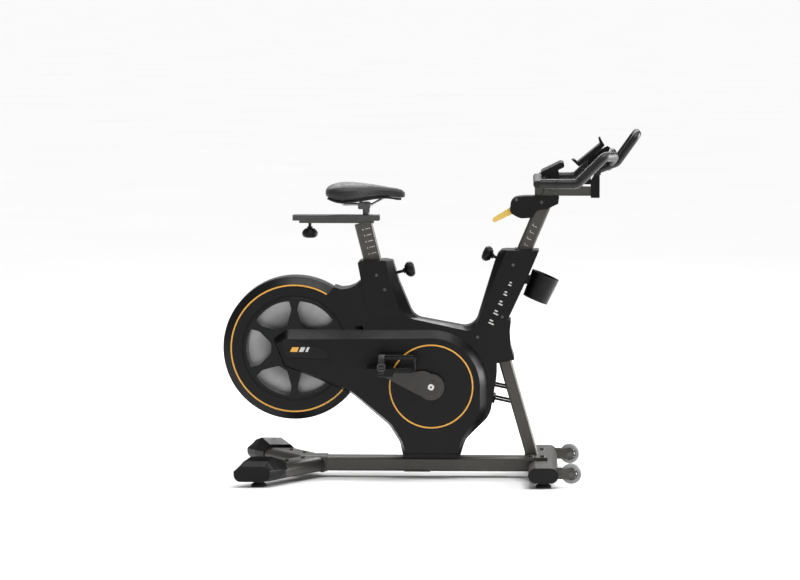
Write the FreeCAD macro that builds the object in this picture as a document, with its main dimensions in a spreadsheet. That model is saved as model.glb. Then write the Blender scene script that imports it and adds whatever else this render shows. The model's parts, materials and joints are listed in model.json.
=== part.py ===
"""Indoor exercise bike: +X towards the handlebars, +Y to the rider's left, +Z up, millimetres.

The origin is on the floor, midway along the overall length and width.
"""
import FreeCAD, Part
import Sketcher
import math
import os

Vector = FreeCAD.Vector
Rotation = FreeCAD.Rotation
Placement = FreeCAD.Placement

SIZES = {
    # base frame
    "beam_bottom": 21, "beam_top": 66, "beam_width": 75, "steel_wall": 3,
    "beam_rear": -400, "stabilizer_centre": 359, "oval_depth": 95, "oval_height": 48,
    "oval_bottom": 18, "base_half_width": 280, "rear_foot_x": -555, "sleeve_rear": -416,
    "sleeve_front": -331, "sleeve_half_width": 42, "mount_plate_thickness": 10,
    # uprights and posts
    "upright_foot_x": 323.5, "upright_lean": 16.15, "upright_depth": 40, "upright_width": 80,
    "head_x": 200, "head_z": 500, "head_lean": 23.05, "seat_x": -187, "seat_z": 698,
    "seat_lean": 14.4, "seat_post_depth": 55, "handlebar_post_depth": 47, "post_width": 50,
    "bush_wall": 3.2, "post_clearance": 0.3, "seat_post_length": 400, "handlebar_post_length": 338,
    # drive
    "crank_x": 3, "crank_z": 300, "crank_length": 170, "crank_angle": 19.4, "spindle_radius": 10,
    "bearing_radius": 20, "bearing_width": 12, "shell_radius": 28, "shell_half": 45,
    "pulley_radius": 95, "small_pulley_radius": 24, "belt_inside": 63, "belt_width": 8,
    "flywheel_x": -434, "flywheel_z": 417, "flywheel_radius": 203, "axle_radius": 8,
    "guard_radius": 228.5, "guard_face_radius": 205, "guard_half": 57, "guard_shoulder": 40,
    "arm_inside": 91, "arm_thickness": 17, "pedal_spindle_radius": 6, "pedal_width": 96,
    "pedal_length": 84, "pedal_height": 24,
    # covers
    "cover_wall": 3, "body_half": 57, "body_shoulder": 35, "drive_face": 88, "ring_thickness": 1,
    "drive_ring_radius": 132, "guard_ring_radius": 202, "ring_width": 4.5,
    # small moving parts
    "knob_radius": 25, "knob_length": 30, "stem_radius": 5, "foot_radius": 25, "foot_x": 535,
    "foot_y": 240, "wheel_x": 447.3, "wheel_z": 44, "wheel_y": 235, "wheel_radius": 32,
    "wheel_width": 22, "running_gap": 0.05, "rail_bottom": 815, "rail_top": 834,
    "rail_half_width": 22, "saddle_rail_radius": 3.5, "grip_radius": 15, "horn_radius": 12,
    "cup_radius": 46, "cup_height": 86, "cup_wall": 2.5,
}

doc = FreeCAD.newDocument("ExerciseBike")
sheet = doc.addObject("Spreadsheet::Sheet", "Sizes")
for row, (alias, value) in enumerate(SIZES.items(), start=1):
    sheet.set(f"A{row}", alias.replace("_", " "))
    sheet.set(f"B{row}", str(value))
    sheet.setAlias(f"B{row}", alias)
doc.recompute()

nodes = []


# ---------------------------------------------------------------- building blocks

def size(alias):
    """A driving dimension, read from the sheet."""
    return float(sheet.get(alias))


def bind(feature, **expressions):
    """Bind a feature's properties to expressions on the sheet."""
    for name, expression in expressions.items():
        feature.setExpression(name, expression)


def cell(alias):
    return "Sizes." + alias


def node(feature, label):
    """Register a feature as one of the object's sub-parts."""
    feature.Label = label
    nodes.append(feature)
    return feature


def rounded_edges(corners):
    """A closed loop of lines and arcs through (u, v, radius) corners."""
    points = [Vector(u, v, 0) for u, v, radius in corners]
    starts, ends, arcs = [], [], []
    for i, (u, v, radius) in enumerate(corners):
        back = (points[i - 1] - points[i]).normalize()
        ahead = (points[(i + 1) % len(points)] - points[i]).normalize()
        half_angle = back.getAngle(ahead) / 2
        reach = radius / math.tan(half_angle)
        start = points[i] + back * reach
        end = points[i] + ahead * reach
        starts.append(start)
        ends.append(end)
        middle = (back + ahead).normalize()
        apex = points[i] + middle * (radius / math.sin(half_angle) - radius)
        arcs.append(Part.Arc(start, apex, end) if radius > 0 else None)
    edges = []
    for i, arc in enumerate(arcs):
        if arc:
            edges.append(arc)
        following = starts[(i + 1) % len(starts)]
        if ends[i].distanceToPoint(following) > 0.001:
            edges.append(Part.LineSegment(ends[i], following))
    return edges


def inset(corners, distance):
    """The outline moved inwards by a distance, with its corner radii kept in step."""
    area = sum(corners[i - 1][0] * corners[i][1] - corners[i][0] * corners[i - 1][1]
               for i in range(len(corners)))
    side = 1 if area > 0 else -1
    moved = []
    for i, (u, v, radius) in enumerate(corners):
        corner = Vector(u, v, 0)
        before = Vector(*corners[i - 1][:2], 0)
        after = Vector(*corners[(i + 1) % len(corners)][:2], 0)
        along = (corner - before).normalize()
        onward = (after - corner).normalize()
        first = Vector(-along.y, along.x, 0) * side
        second = Vector(-onward.y, onward.x, 0) * side
        bisector = (first + second).normalize()
        step = distance / bisector.dot(first)
        turn = (along.x * onward.y - along.y * onward.x) * side
        new_radius = max(radius - distance, 0.5) if turn > 0 else radius + distance
        new_corner = corner + bisector * step
        moved.append((new_corner.x, new_corner.y, new_radius if radius > 0 else 0))
    return moved


def sketch_on(body, role, offset, edges):
    """A sketch of given edges on one of a body's origin planes, moved along its normal."""
    plane = [feature for feature in body.Origin.OriginFeatures if feature.Role == role][0]
    sketch = body.newObject("Sketcher::SketchObject", body.Name + "Sketch")
    sketch.AttachmentSupport = [(plane, "")]
    sketch.MapMode = "FlatFace"
    sketch.AttachmentOffset = Placement(Vector(0, 0, offset), Rotation())
    sketch.addGeometry(edges, False)
    return sketch


def new_body(name):
    return doc.addObject("PartDesign::Body", name)


def padded(name, corners, length, offset=0, role="XZ_Plane"):
    """A body padded from an outline. On XZ the pad runs from Y = -offset towards -Y."""
    body = new_body(name)
    sketch = sketch_on(body, role, offset, rounded_edges(corners))
    pad = body.newObject("PartDesign::Pad", name + "Pad")
    pad.Profile = sketch
    bind(pad, Length=str(length))
    body.Tip = pad
    return body


def lofted(name, sections):
    """A body lofted straight through (offset, corners) outlines on planes across Y."""
    body = new_body(name)
    sketches = [sketch_on(body, "XZ_Plane", offset, rounded_edges(corners))
                for offset, corners in sections]
    loft = body.newObject("PartDesign::AdditiveLoft", name + "Loft")
    loft.Profile = sketches[0]
    loft.Sections = sketches[1:]
    loft.Ruled = True
    body.Tip = loft
    return body


def revolved(name, profile, centre, direction, angle=360, start=0):
    """A body turned from a (radius, height) outline about an axis through centre."""
    body = new_body(name)
    points = [Vector(radius, height, 0) for radius, height in profile]
    edges = [Part.LineSegment(points[i - 1], points[i]) for i in range(len(points))]
    sketch = sketch_on(body, "XZ_Plane", 0, edges)
    turn = body.newObject("PartDesign::Revolution", name + "Turn")
    turn.Profile = sketch
    turn.ReferenceAxis = (sketch, ["V_Axis"])
    turn.Angle = angle
    body.Tip = turn
    aim = Rotation(Vector(0, 0, 1), direction)
    body.Placement = Placement(centre, aim * Rotation(Vector(0, 0, 1), start))
    return body


def cylinder(name, radius, length, base, direction):
    feature = doc.addObject("Part::Cylinder", name)
    bind(feature, Radius=str(radius), Height=str(length))
    feature.Placement = Placement(base, Rotation(Vector(0, 0, 1), direction))
    return feature


def box(name, low, length, width, height):
    """A box from its low corner; the sizes are expressions or numbers."""
    feature = doc.addObject("Part::Box", name)
    bind(feature, Length=str(length), Width=str(width), Height=str(height))
    feature.Placement = Placement(low, Rotation())
    return feature


def cut(name, base, *tools):
    feature = doc.addObject("Part::Cut", name)
    feature.Base = base
    feature.Tool = tools[0] if len(tools) == 1 else fused(name + "Tools", *tools)
    return feature


def fused(name, *shapes):
    feature = doc.addObject("Part::MultiFuse", name)
    feature.Shapes = list(shapes)
    return feature


def group(name, *shapes):
    """Separate solids kept together in one sub-part."""
    feature = doc.addObject("Part::Compound", name)
    feature.Links = list(shapes)
    return feature


def mirrored(name, source):
    """The same piece on the rider's left."""
    feature = doc.addObject("Part::Mirroring", name)
    feature.Source = source
    feature.Normal = Vector(0, 1, 0)
    return feature


def copied(name, source, placement):
    feature = doc.addObject("Part::Feature", name)
    doc.recompute()
    feature.Shape = source.Shape.transformed(placement.toMatrix(), copy=True)
    return feature


def both_sides(name, source):
    return group(name, source, mirrored(name + "Left", source))


def rectangle(depth, width, radius):
    return [(-depth / 2, -width / 2, radius), (depth / 2, -width / 2, radius),
            (depth / 2, width / 2, radius), (-depth / 2, width / 2, radius)]


def leaning_prism(name, base, lean, depth, width, length, radius=6):
    """A rounded bar standing on base and leaning towards +X by an angle in degrees."""
    bar = padded(name, rectangle(depth, width, radius), length, role="XY_Plane")
    bar.Placement = Placement(base, Rotation(Vector(0, 1, 0), lean))
    return bar


def rod(name, points, radius, bend):
    """A round bar along straight runs joined by tangent bends."""
    route = [Vector(*point) for point in points]
    edges = []
    here = route[0]
    for i in range(1, len(route) - 1):
        back = (route[i - 1] - route[i]).normalize()
        ahead = (route[i + 1] - route[i]).normalize()
        half_angle = back.getAngle(ahead) / 2
        reach = bend / math.tan(half_angle)
        start = route[i] + back * reach
        end = route[i] + ahead * reach
        apex = route[i] + (back + ahead).normalize() * (bend / math.sin(half_angle) - bend)
        edges.append(Part.makeLine(here, start))
        edges.append(Part.Arc(start, apex, end).toShape())
        here = end
    edges.append(Part.makeLine(here, route[-1]))
    section = Part.Wire(Part.makeCircle(radius, route[0], route[1] - route[0]))
    feature = doc.addObject("Part::Feature", name)
    feature.Shape = Part.Wire(edges).makePipeShell([section], True, True)
    return feature


def along(base, lean, distance):
    """The point a distance up a line that leans towards +X in the XZ plane."""
    angle = math.radians(lean)
    return base + Vector(math.sin(angle), 0, math.cos(angle)) * distance


ACROSS = Vector(0, 1, 0)
UP = Vector(0, 0, 1)
FORWARD = Vector(1, 0, 0)
CRANK = Vector(size("crank_x"), 0, size("crank_z"))
FLYWHEEL = Vector(size("flywheel_x"), 0, size("flywheel_z"))
HEAD = Vector(size("head_x"), 0, size("head_z"))
SEAT = Vector(size("seat_x"), 0, size("seat_z"))
SEAT_LEAN = -size("seat_lean")
HEAD_LEAN = size("head_lean")
UPRIGHT_LEAN = -size("upright_lean")


# ---------------------------------------------------------------- base frame

def oval(centre_u, bottom, depth, height, trim=0):
    """A flat oval section as rounded corners."""
    half = depth / 2 - trim
    low = bottom + trim
    high = bottom + height - trim
    radius = (high - low) / 2 - 0.01
    return [(centre_u - half, low, radius), (centre_u + half, low, radius),
            (centre_u + half, high, radius), (centre_u - half, high, radius)]


def stabilizer_bar(name, trim, half_width):
    section = oval(size("stabilizer_centre"), size("oval_bottom"), size("oval_depth"),
                   size("oval_height"), trim)
    return padded(name, section, 2 * half_width, offset=-half_width)


def rear_arm_bar(name, trim):
    """A flat oval bar from the beam's centre line out to the rear foot, on the right."""
    run = Vector(size("rear_foot_x") + 366, -size("base_half_width"), 0)
    section = oval(0, size("oval_bottom"), size("oval_depth"), size("oval_height"), trim)
    bar = padded(name, section, run.Length + 120, offset=-60)
    turn = Rotation(Vector(0, -1, 0), run)
    bar.Placement = Placement(Vector(-366, 0, 0), turn)
    return bar


def main_beam():
    low = size("beam_bottom")
    high = size("beam_top")
    half = size("beam_width") / 2
    outer = padded("BeamOuter", [(-half, low, 8), (half, low, 8), (half, high, 8), (-half, high, 8)],
                   360 - size("beam_rear"), offset=size("beam_rear"), role="YZ_Plane")
    wall = size("steel_wall")
    inner_corners = [(-half + wall, low + wall, 5), (half - wall, low + wall, 5),
                     (half - wall, high - wall, 5), (-half + wall, high - wall, 5)]
    inner = padded("BeamInner", inner_corners, 800, offset=-450, role="YZ_Plane")
    cope = stabilizer_bar("BeamCope", 0, 100)
    strip = box("BeamStrip", Vector(-85, -26, low - 3), 83, 52, 3)
    node(fused("Beam", cut("BeamTube", outer, inner, cope), strip), "main_beam")


def rear_frame():
    """The sleeve round the beam's rear end and the two splayed arms welded to it."""
    rear = size("sleeve_rear")
    front = size("sleeve_front")
    half = size("sleeve_half_width")
    sleeve = padded("SleeveOuter", [(-half, 19, 9), (half, 19, 9), (half, 69, 9), (-half, 69, 9)],
                    front - rear, offset=rear, role="YZ_Plane")
    arm_right = cut("ArmRight", rear_arm_bar("ArmOuter", 0),
                    box("ArmInnerSide", Vector(-900, 0, -50), 1200, 300, 200),
                    box("ArmOuterSide", Vector(-900, -600, -50), 1200, 324, 200))
    arm_hollow = cut("ArmHollow", rear_arm_bar("ArmInner", size("steel_wall")),
                     box("HollowInnerSide", Vector(-900, -60, -50), 1200, 400, 200))
    both_arms = fused("BothArms", arm_right, mirrored("ArmLeft", arm_right))
    hollows = fused("BothHollows", arm_hollow, mirrored("HollowLeft", arm_hollow))
    shell = fused("RearShell", sleeve, both_arms)
    half_beam = size("beam_width") / 2
    beam_seat = padded("BeamSeat", [(-half_beam, 21, 8), (half_beam, 21, 8), (half_beam, 66, 8),
                                    (-half_beam, 66, 8)], 100, offset=size("beam_rear"), role="YZ_Plane")
    stems = foot_holes("RearFootHole", -size("foot_x"))
    node(cut("RearFrame", shell, hollows, beam_seat, stems), "rear_frame")


def foot_holes(name, foot_x):
    hole = cylinder(name, "Sizes.stem_radius + Sizes.running_gap", 30,
                    Vector(foot_x, -size("foot_y"), 5), UP)
    return fused(name + "s", hole, mirrored(name + "Left", hole))


def front_stabilizer():
    half = size("base_half_width") - 4
    tube = cut("StabilizerTube", stabilizer_bar("StabilizerOuter", 0, half),
               stabilizer_bar("StabilizerInner", size("steel_wall"), half + 5))
    plate = box("MountPlate", Vector(300, -105, size("beam_top")), 73, 210, cell("mount_plate_thickness"))
    welded = fused("StabilizerWelded", tube, plate)
    node(cut("Stabilizer", welded, foot_holes("FrontFootHole", 360)), "front_stabilizer")


def rear_cap_right():
    """A faceted foot cover that rises to a ridge and slopes inwards along the arm."""
    def section(rear, front, top, ridge_rear, ridge_front):
        return [(rear, 18.5, 22), (front, 18.5, 22), (front, 52, 6), (ridge_front, top, 4),
                (ridge_rear, top, 4), (rear, 52, 6)]
    outline = lofted("RearCapLoft", [
        (185, section(-552, -438, 76, -532, -462)),
        (231, section(-584, -462, 93, -562, -496)),
        (262, section(-602, -484, 82, -582, -506)),
        (280, section(-612, -498, 67, -594, -516))])
    arm = cut("RearCapArm", rear_arm_bar("RearCapArmBar", 0),
              box("RearCapEnd", Vector(-900, -600, -50), 1200, 324, 200))
    return cut("RearCapRight", outline, arm)


def end_caps():
    section = oval(size("stabilizer_centre"), size("oval_bottom"), size("oval_depth"),
                   size("oval_height"))
    plug = oval(size("stabilizer_centre"), size("oval_bottom"), size("oval_depth"),
                size("oval_height"), size("steel_wall"))
    outside = size("base_half_width")
    cap = fused("FrontCap", padded("FrontCapFace", section, 4, offset=outside - 4),
                padded("FrontCapPlug", plug, 12, offset=outside - 16))
    rear = rear_cap_right()
    node(group("EndCaps", cap, mirrored("FrontCapLeft", cap), rear, mirrored("RearCapLeft", rear)),
         "end_caps")


def wheel_brackets():
    """Two steel cheeks beside each transport wheel, welded to the front bar."""
    section = [(380, 28, 2), (462, 28, 15.9), (462, 60, 15.9), (380, 60, 2)]
    gap = size("wheel_width") / 2 + 2
    inner = padded("CheekInner", section, 3, offset=size("wheel_y") - gap - 3)
    outer = padded("CheekOuter", section, 3, offset=size("wheel_y") + gap)
    bolt = cylinder("CheekBolt", 5, 50, Vector(size("wheel_x"), -size("wheel_y") - 25, size("wheel_z")),
                    ACROSS)
    bar = stabilizer_bar("BracketCope", 0, 300)
    pair = cut("BracketRight", fused("Cheeks", inner, outer), bolt, bar)
    node(both_sides("WheelBrackets", pair), "wheel_brackets")


def frame_bolts():
    """Hexagon bolts of the base, and the transport wheels' axle bolts."""
    bolts = []
    places = [(358, -88, 76, 8, 6), (322, -88, 76, 8, 6), (-408, -58, 66, 7, 5), (-455, -130, 66, 7, 5)]
    for i, (x, y, z, radius, height) in enumerate(places):
        bolts.append(hexagon(f"BaseBolt{i}", Vector(x, y, z), UP, radius, height))
    reach = size("wheel_width") / 2 + 5
    wheel = Vector(size("wheel_x"), -size("wheel_y"), size("wheel_z"))
    shank = cylinder("AxleBoltShank", 5, 2 * reach, wheel - ACROSS * reach, ACROSS)
    near_head = cylinder("AxleBoltHead", 9, 4, wheel - ACROSS * (reach + 4), ACROSS)
    far_head = cylinder("AxleBoltNut", 8, 5, wheel + ACROSS * reach, ACROSS)
    bolts.append(fused("AxleBolt", shank, near_head, far_head))
    left = [mirrored(bolt.Name + "Left", bolt) for bolt in bolts]
    under = hexagon("SleeveBolt", Vector(-349, 0, 12), UP, 8, 6)
    node(group("FrameBolts", under, *bolts, *left), "frame_bolts")


def hexagon(name, base, direction, radius, height):
    feature = doc.addObject("Part::Prism", name)
    feature.Polygon = 6
    feature.Circumradius = radius
    feature.Height = height
    feature.Placement = Placement(base, Rotation(UP, direction))
    return feature


# ---------------------------------------------------------------- uprights, posts, bushes

def upright_bar(name, trim=0.0, extra=0.0):
    base = Vector(size("upright_foot_x"), 0, 76)
    length = (size("head_z") - 76) / math.cos(math.radians(UPRIGHT_LEAN))
    start = along(base, UPRIGHT_LEAN, -30)
    return leaning_prism(name, start, UPRIGHT_LEAN, size("upright_depth") - 2 * trim,
                         size("upright_width") - 2 * trim, length + 30 + extra, 9)


def front_upright():
    foot = box("UprightFoot", Vector(200, -80, 0), 300, 160, 76)
    tube = cut("UprightTube", upright_bar("UprightOuter"),
               upright_bar("UprightInner", size("steel_wall"), 5), foot)
    node(tube, "front_upright")


def sleeve_size(post_depth):
    """Depth and width of the tube bore that takes a post and its bush."""
    extra = 2 * (size("bush_wall") + size("post_clearance"))
    return post_depth + extra, size("post_width") + extra


def head_tube_bar(name, trim, low, high):
    depth, width = sleeve_size(size("handlebar_post_depth"))
    grow = 2 * (size("steel_wall") - trim)
    return leaning_prism(name, along(HEAD, HEAD_LEAN, low), HEAD_LEAN, depth + grow,
                         width + grow, high - low)


def seat_tube_bar(name, trim, low, high):
    depth, width = sleeve_size(size("seat_post_depth"))
    grow = 2 * (size("steel_wall") - trim)
    return leaning_prism(name, along(SEAT, SEAT_LEAN, low), SEAT_LEAN, depth + grow,
                         width + grow, high - low)


def head_tube():
    tube = cut("HeadTube", head_tube_bar("HeadOuter", 0, 0, 245),
               head_tube_bar("HeadInner", size("steel_wall"), -20, 260),
               upright_bar("HeadMitre"), knob_hole("HeadKnobHole", head_knob_axis()))
    node(tube, "head_tube")


def seat_tube():
    tube = cut("SeatTube", seat_tube_bar("SeatOuter", 0, -395, -8),
               seat_tube_bar("SeatInner", size("steel_wall"), -410, 10),
               knob_hole("SeatKnobHole", seat_knob_axis()))
    node(tube, "seat_tube")


def bush(name, base, lean, post_depth, low, high):
    """A plastic guide sleeve between a tube and its post."""
    depth, width = sleeve_size(post_depth)
    outer = leaning_prism(name + "Outer", along(base, lean, low), lean, depth, width, high - low)
    gap = 2 * size("post_clearance")
    inner = leaning_prism(name + "Inner", along(base, lean, low - 5), lean, post_depth + gap,
                          size("post_width") + gap, high - low + 10)
    return cut(name, outer, inner)


def post_bushes():
    seat = cut("SeatBushDrilled", bush("SeatBush", SEAT, SEAT_LEAN, size("seat_post_depth"), -120, -8),
               knob_hole("SeatBushHole", seat_knob_axis()))
    head = cut("HeadBushDrilled", bush("HeadBush", HEAD, HEAD_LEAN, size("handlebar_post_depth"), 150, 245),
               knob_hole("HeadBushHole", head_knob_axis()))
    node(group("PostBushes", seat, head), "post_bushes")


def top_tube():
    bar = box("TopTubeBar", Vector(-130, -25, 412), 340, 50, 50)
    hollow = box("TopTubeHollow", Vector(-140, -22, 415), 360, 44, 44)
    node(cut("TopTube", bar, hollow, seat_tube_bar("TopTubeSeat", 0, -420, 0),
             upright_bar("TopTubeUpright"), box("TopTubeEnd", Vector(-200, -30, 400), 66, 60, 80),
             box("TopTubeFront", Vector(205, -30, 400), 80, 60, 80)), "top_tube")


def bottom_bracket():
    """The post on the beam, its shell for the crank bearings and a stay to the seat tube."""
    post = cut("BracketPost", box("PostOuter", Vector(-22, -25, size("beam_top")), 50, 50, 346),
               box("PostHollow", Vector(-19, -22, size("beam_top") + 12), 44, 44, 400))
    base = box("BracketBase", Vector(-86, -37, size("beam_top")), 179, 74, 12)
    shell = cylinder("BracketShell", cell("shell_radius"), "2 * Sizes.shell_half",
                     CRANK - ACROSS * size("shell_half"), ACROSS)
    stay = box("BracketStay", Vector(-110, -20, 325), 95, 40, 40)
    bore = cylinder("BracketBore", cell("bearing_radius"), 200, CRANK - ACROSS * 100, ACROSS)
    node(cut("Bracket", fused("BracketWelded", post, base, shell, stay), bore,
             seat_tube_bar("StaySeat", 0, -420, 0)), "bottom_bracket")


def bb_bearings():
    width = size("bearing_width")
    ring = revolved("Bearing", ring_profile(size("spindle_radius") + size("running_gap"),
                                            size("bearing_radius"), 0, width),
                    CRANK - ACROSS * size("shell_half"), ACROSS)
    node(both_sides("Bearings", ring), "bb_bearings")


def ring_profile(inside, outside, low, high):
    return [(inside, low), (outside, low), (outside, high), (inside, high)]


def rear_dropouts():
    """Cross tube behind the seat tube with the two plates that hold the flywheel's axle."""
    pivot = Vector(-175, 0, 345)
    tube = cylinder("CrossTube", 20, 152, pivot - ACROSS * 76, ACROSS)
    stay = box("CrossStay", Vector(-172, -20, 330), 50, 40, 30)
    guide = box("BrakeGuide", Vector(-181, -14, 403), 40, 28, 28)
    guide_bore = cylinder("BrakeGuideBore", "Sizes.stem_radius + Sizes.running_gap", 60,
                          Vector(-200, 0, FLYWHEEL.z), FORWARD)
    frame = cut("CrossFrame", fused("CrossWelded", tube, stay, guide), guide_bore,
                seat_tube_bar("CrossSeat", 0, -420, 0))
    run = FLYWHEEL - pivot
    section = [(-30, -25, 24.9), (run.Length + 25, -25, 24.9), (run.Length + 25, 25, 24.9),
               (-30, 25, 24.9)]
    plate = padded("DropoutBlank", section, 4, offset=76)
    plate.Placement = Placement(pivot, Rotation(FORWARD, run))
    drilled = cut("DropoutRight", plate, cylinder("DropoutHole", cell("axle_radius"), 200,
                                                  FLYWHEEL - ACROSS * 100, ACROSS))
    node(group("Dropouts", frame, drilled, mirrored("DropoutLeft", drilled)), "rear_dropouts")


# ---------------------------------------------------------------- flywheel and drive

def flywheel_axle():
    rod_part = cylinder("AxleRod", cell("axle_radius"), 169, FLYWHEEL - ACROSS * 84.5, ACROSS)
    nut = cut("AxleNut", hexagon("AxleNutBlank", FLYWHEEL - ACROSS * 84.5, ACROSS, 13, 4.5),
              cylinder("AxleNutBore", cell("axle_radius"), 20, FLYWHEEL - ACROSS * 90, ACROSS))
    node(group("AxleSet", rod_part, nut, mirrored("AxleNutLeft", nut)), "flywheel_axle")


def flywheel():
    """A heavy disc with a thick rim, turning on two bearings round a fixed axle."""
    radius = size("flywheel_radius")
    disc = revolved("FlywheelDisc", [(14, -50), (28, -50), (28, -6), (150, -6), (158, -14), (radius, -14),
                                     (radius, 14), (158, 14), (150, 6), (28, 6), (28, 50), (18, 50),
                                     (18, 74), (14, 74)], FLYWHEEL, -ACROSS)
    bore = size("axle_radius") + size("running_gap")
    near = revolved("FlywheelBearing", ring_profile(bore, 14, 62, 74), FLYWHEEL, -ACROSS)
    far = revolved("FlywheelBearingFar", ring_profile(bore, 14, -50, -38), FLYWHEEL, -ACROSS)
    node(group("FlywheelSet", disc, near, far), "flywheel")
    low = size("belt_inside") - 2
    high = size("belt_inside") + size("belt_width") + 2
    rim = size("small_pulley_radius")
    pulley = revolved("SmallPulley", [(18, low), (rim + 2, low), (rim + 2, low + 1.5), (rim, low + 1.5),
                                      (rim, high - 1.5), (rim + 2, high - 1.5), (rim + 2, high),
                                      (18, high)], FLYWHEEL, -ACROSS)
    node(pulley, "flywheel_pulley")


def belt_loop(name, radius_grow, length, offset):
    """A disc-ended strip that hugs both pulleys."""
    large = size("pulley_radius") + radius_grow
    small = size("small_pulley_radius") + radius_grow
    run = FLYWHEEL - CRANK
    tilt = math.acos((large - small) / run.Length)
    def rim(centre, radius, angle):
        heading = math.atan2(run.z, run.x) + angle
        return Vector(centre.x + radius * math.cos(heading), centre.z + radius * math.sin(heading), 0)
    start, end = rim(CRANK, large, tilt), rim(CRANK, large, -tilt)
    far_start, far_end = rim(FLYWHEEL, small, tilt), rim(FLYWHEEL, small, -tilt)
    edges = [Part.Arc(start, rim(CRANK, large, math.pi), end), Part.LineSegment(end, far_end),
             Part.Arc(far_end, rim(FLYWHEEL, small, 0), far_start), Part.LineSegment(far_start, start)]
    body = new_body(name)
    sketch = sketch_on(body, "XZ_Plane", offset, edges)
    pad = body.newObject("PartDesign::Pad", name + "Pad")
    pad.Profile = sketch
    pad.Length = length
    body.Tip = pad
    return body


def drive_belt():
    inside = size("belt_inside")
    width = size("belt_width")
    outer = belt_loop("BeltOuter", 2.3, width, inside)
    inner = belt_loop("BeltInner", 0.3, width + 10, inside - 5)
    node(cut("Belt", outer, inner), "drive_belt")


def crank_pulley():
    low = size("belt_inside") - 2
    high = size("belt_inside") + size("belt_width") + 2
    rim = size("pulley_radius")
    bore = size("spindle_radius")
    wheel = revolved("LargePulley", [(bore, low), (22, low), (22, low + 4), (rim - 10, low + 4),
                                     (rim - 10, low), (rim + 2, low), (rim + 2, low + 1.5),
                                     (rim, low + 1.5), (rim, high - 1.5), (rim + 2, high - 1.5),
                                     (rim + 2, high), (rim - 10, high), (rim - 10, high - 4),
                                     (22, high - 4), (22, high), (bore, high)], CRANK, -ACROSS)
    node(wheel, "crank_pulley")


def pedal_axis(side):
    """Centre of a pedal's spindle in the bike's middle plane; side is -1 right, 1 left."""
    angle = math.radians(size("crank_angle"))
    reach = Vector(-math.cos(angle), 0, math.sin(angle)) * size("crank_length")
    return CRANK - reach * side


def spindles():
    reach = size("arm_inside") + size("arm_thickness")
    crank = cylinder("CrankSpindle", cell("spindle_radius"), 2 * reach, CRANK - ACROSS * reach, ACROSS)
    parts = [crank]
    for name, side in (("Right", -1), ("Left", 1)):
        base = pedal_axis(side) + ACROSS * side * size("arm_inside")
        parts.append(cylinder("PedalSpindle" + name, cell("pedal_spindle_radius"), 112, base,
                              ACROSS * side))
    node(group("Spindles", *parts), "spindles")


def crank_arms():
    """A wide round hub that tapers to the pedal, hollowed under its lower edge."""
    reach = size("crank_length")
    section = [(-4, 41.5, 30), (reach + 14, 15, 12), (reach + 14, -15, 12), (84, -19, 60),
               (38, -41.5, 20), (-4, -41.5, 30)]
    arms = []
    for name, side in (("Right", -1), ("Left", 1)):
        start = size("arm_inside") if side < 0 else -size("arm_inside") - size("arm_thickness")
        bar = padded("ArmBar" + name, section, cell("arm_thickness"), offset=start)
        base = CRANK - ACROSS * start
        hub = cylinder("ArmHub" + name, 42, cell("arm_thickness"), base, -ACROSS)
        toward = (pedal_axis(side) - CRANK).normalize()
        turn = math.degrees(math.atan2(toward.z, toward.x))
        bar.Placement = Placement(CRANK, Rotation(Vector(0, -1, 0), turn))
        arms.append(cut("Arm" + name, fused("ArmBlank" + name, bar, hub),
                        cylinder("ArmBore" + name, cell("spindle_radius"), 60, base + ACROSS * 20, -ACROSS),
                        cylinder("ArmEye" + name, cell("pedal_spindle_radius"), 60,
                                 pedal_axis(side) - ACROSS * start + ACROSS * 20, -ACROSS)))
    node(group("CrankArms", *arms), "crank_arms")


def pedal(name, side, pitch):
    """A platform pedal with open windows, and the toe cage and strap on its front."""
    centre = pedal_axis(side) + ACROSS * side * (size("arm_inside") + size("arm_thickness") + 3)
    length = size("pedal_length")
    height = size("pedal_height")
    width = size("pedal_width")
    aim = Placement(centre, Rotation(ACROSS, pitch))
    low = -width if side < 0 else 0
    frame = box("PedalFrame" + name, Vector(-length / 2, low, -height / 2), length, width, height)
    front = box("PedalFront" + name, Vector(16, low + 10, -20), length / 2 - 24, width - 20, 40)
    rear = box("PedalRear" + name, Vector(-length / 2 + 8, low + 10, -20), length / 2 - 24,
               width - 20, 40)
    bore = cylinder("PedalBore" + name, "Sizes.pedal_spindle_radius + Sizes.running_gap", cell("pedal_width"),
                    Vector(0, -3 * side, 0), ACROSS * side)
    platform = cut("PedalBlock" + name, frame, front, rear, bore)
    placed = copied("Pedal" + name, platform, aim)
    node(placed, "pedal_" + name.lower())
    inner = low + 12
    outer = low + width - 12
    top = 44
    nose = length / 2 + 68
    loop = rod("CageLoop" + name, [(length / 2, inner, 2), (nose, inner, 2), (nose, inner, top),
                                   (-6, inner, top), (-6, outer, top), (nose, outer, top),
                                   (nose, outer, 2), (length / 2, outer, 2)], 4, 11)
    bridge = box("CageBridge" + name, Vector(nose - 4, inner, 18), 8, outer - inner, 12)
    cage = copied("Cage" + name, fused("CageBlank" + name, loop, bridge), aim)
    node(cage, "toe_cage_" + name.lower())


# ---------------------------------------------------------------- covers

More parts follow.
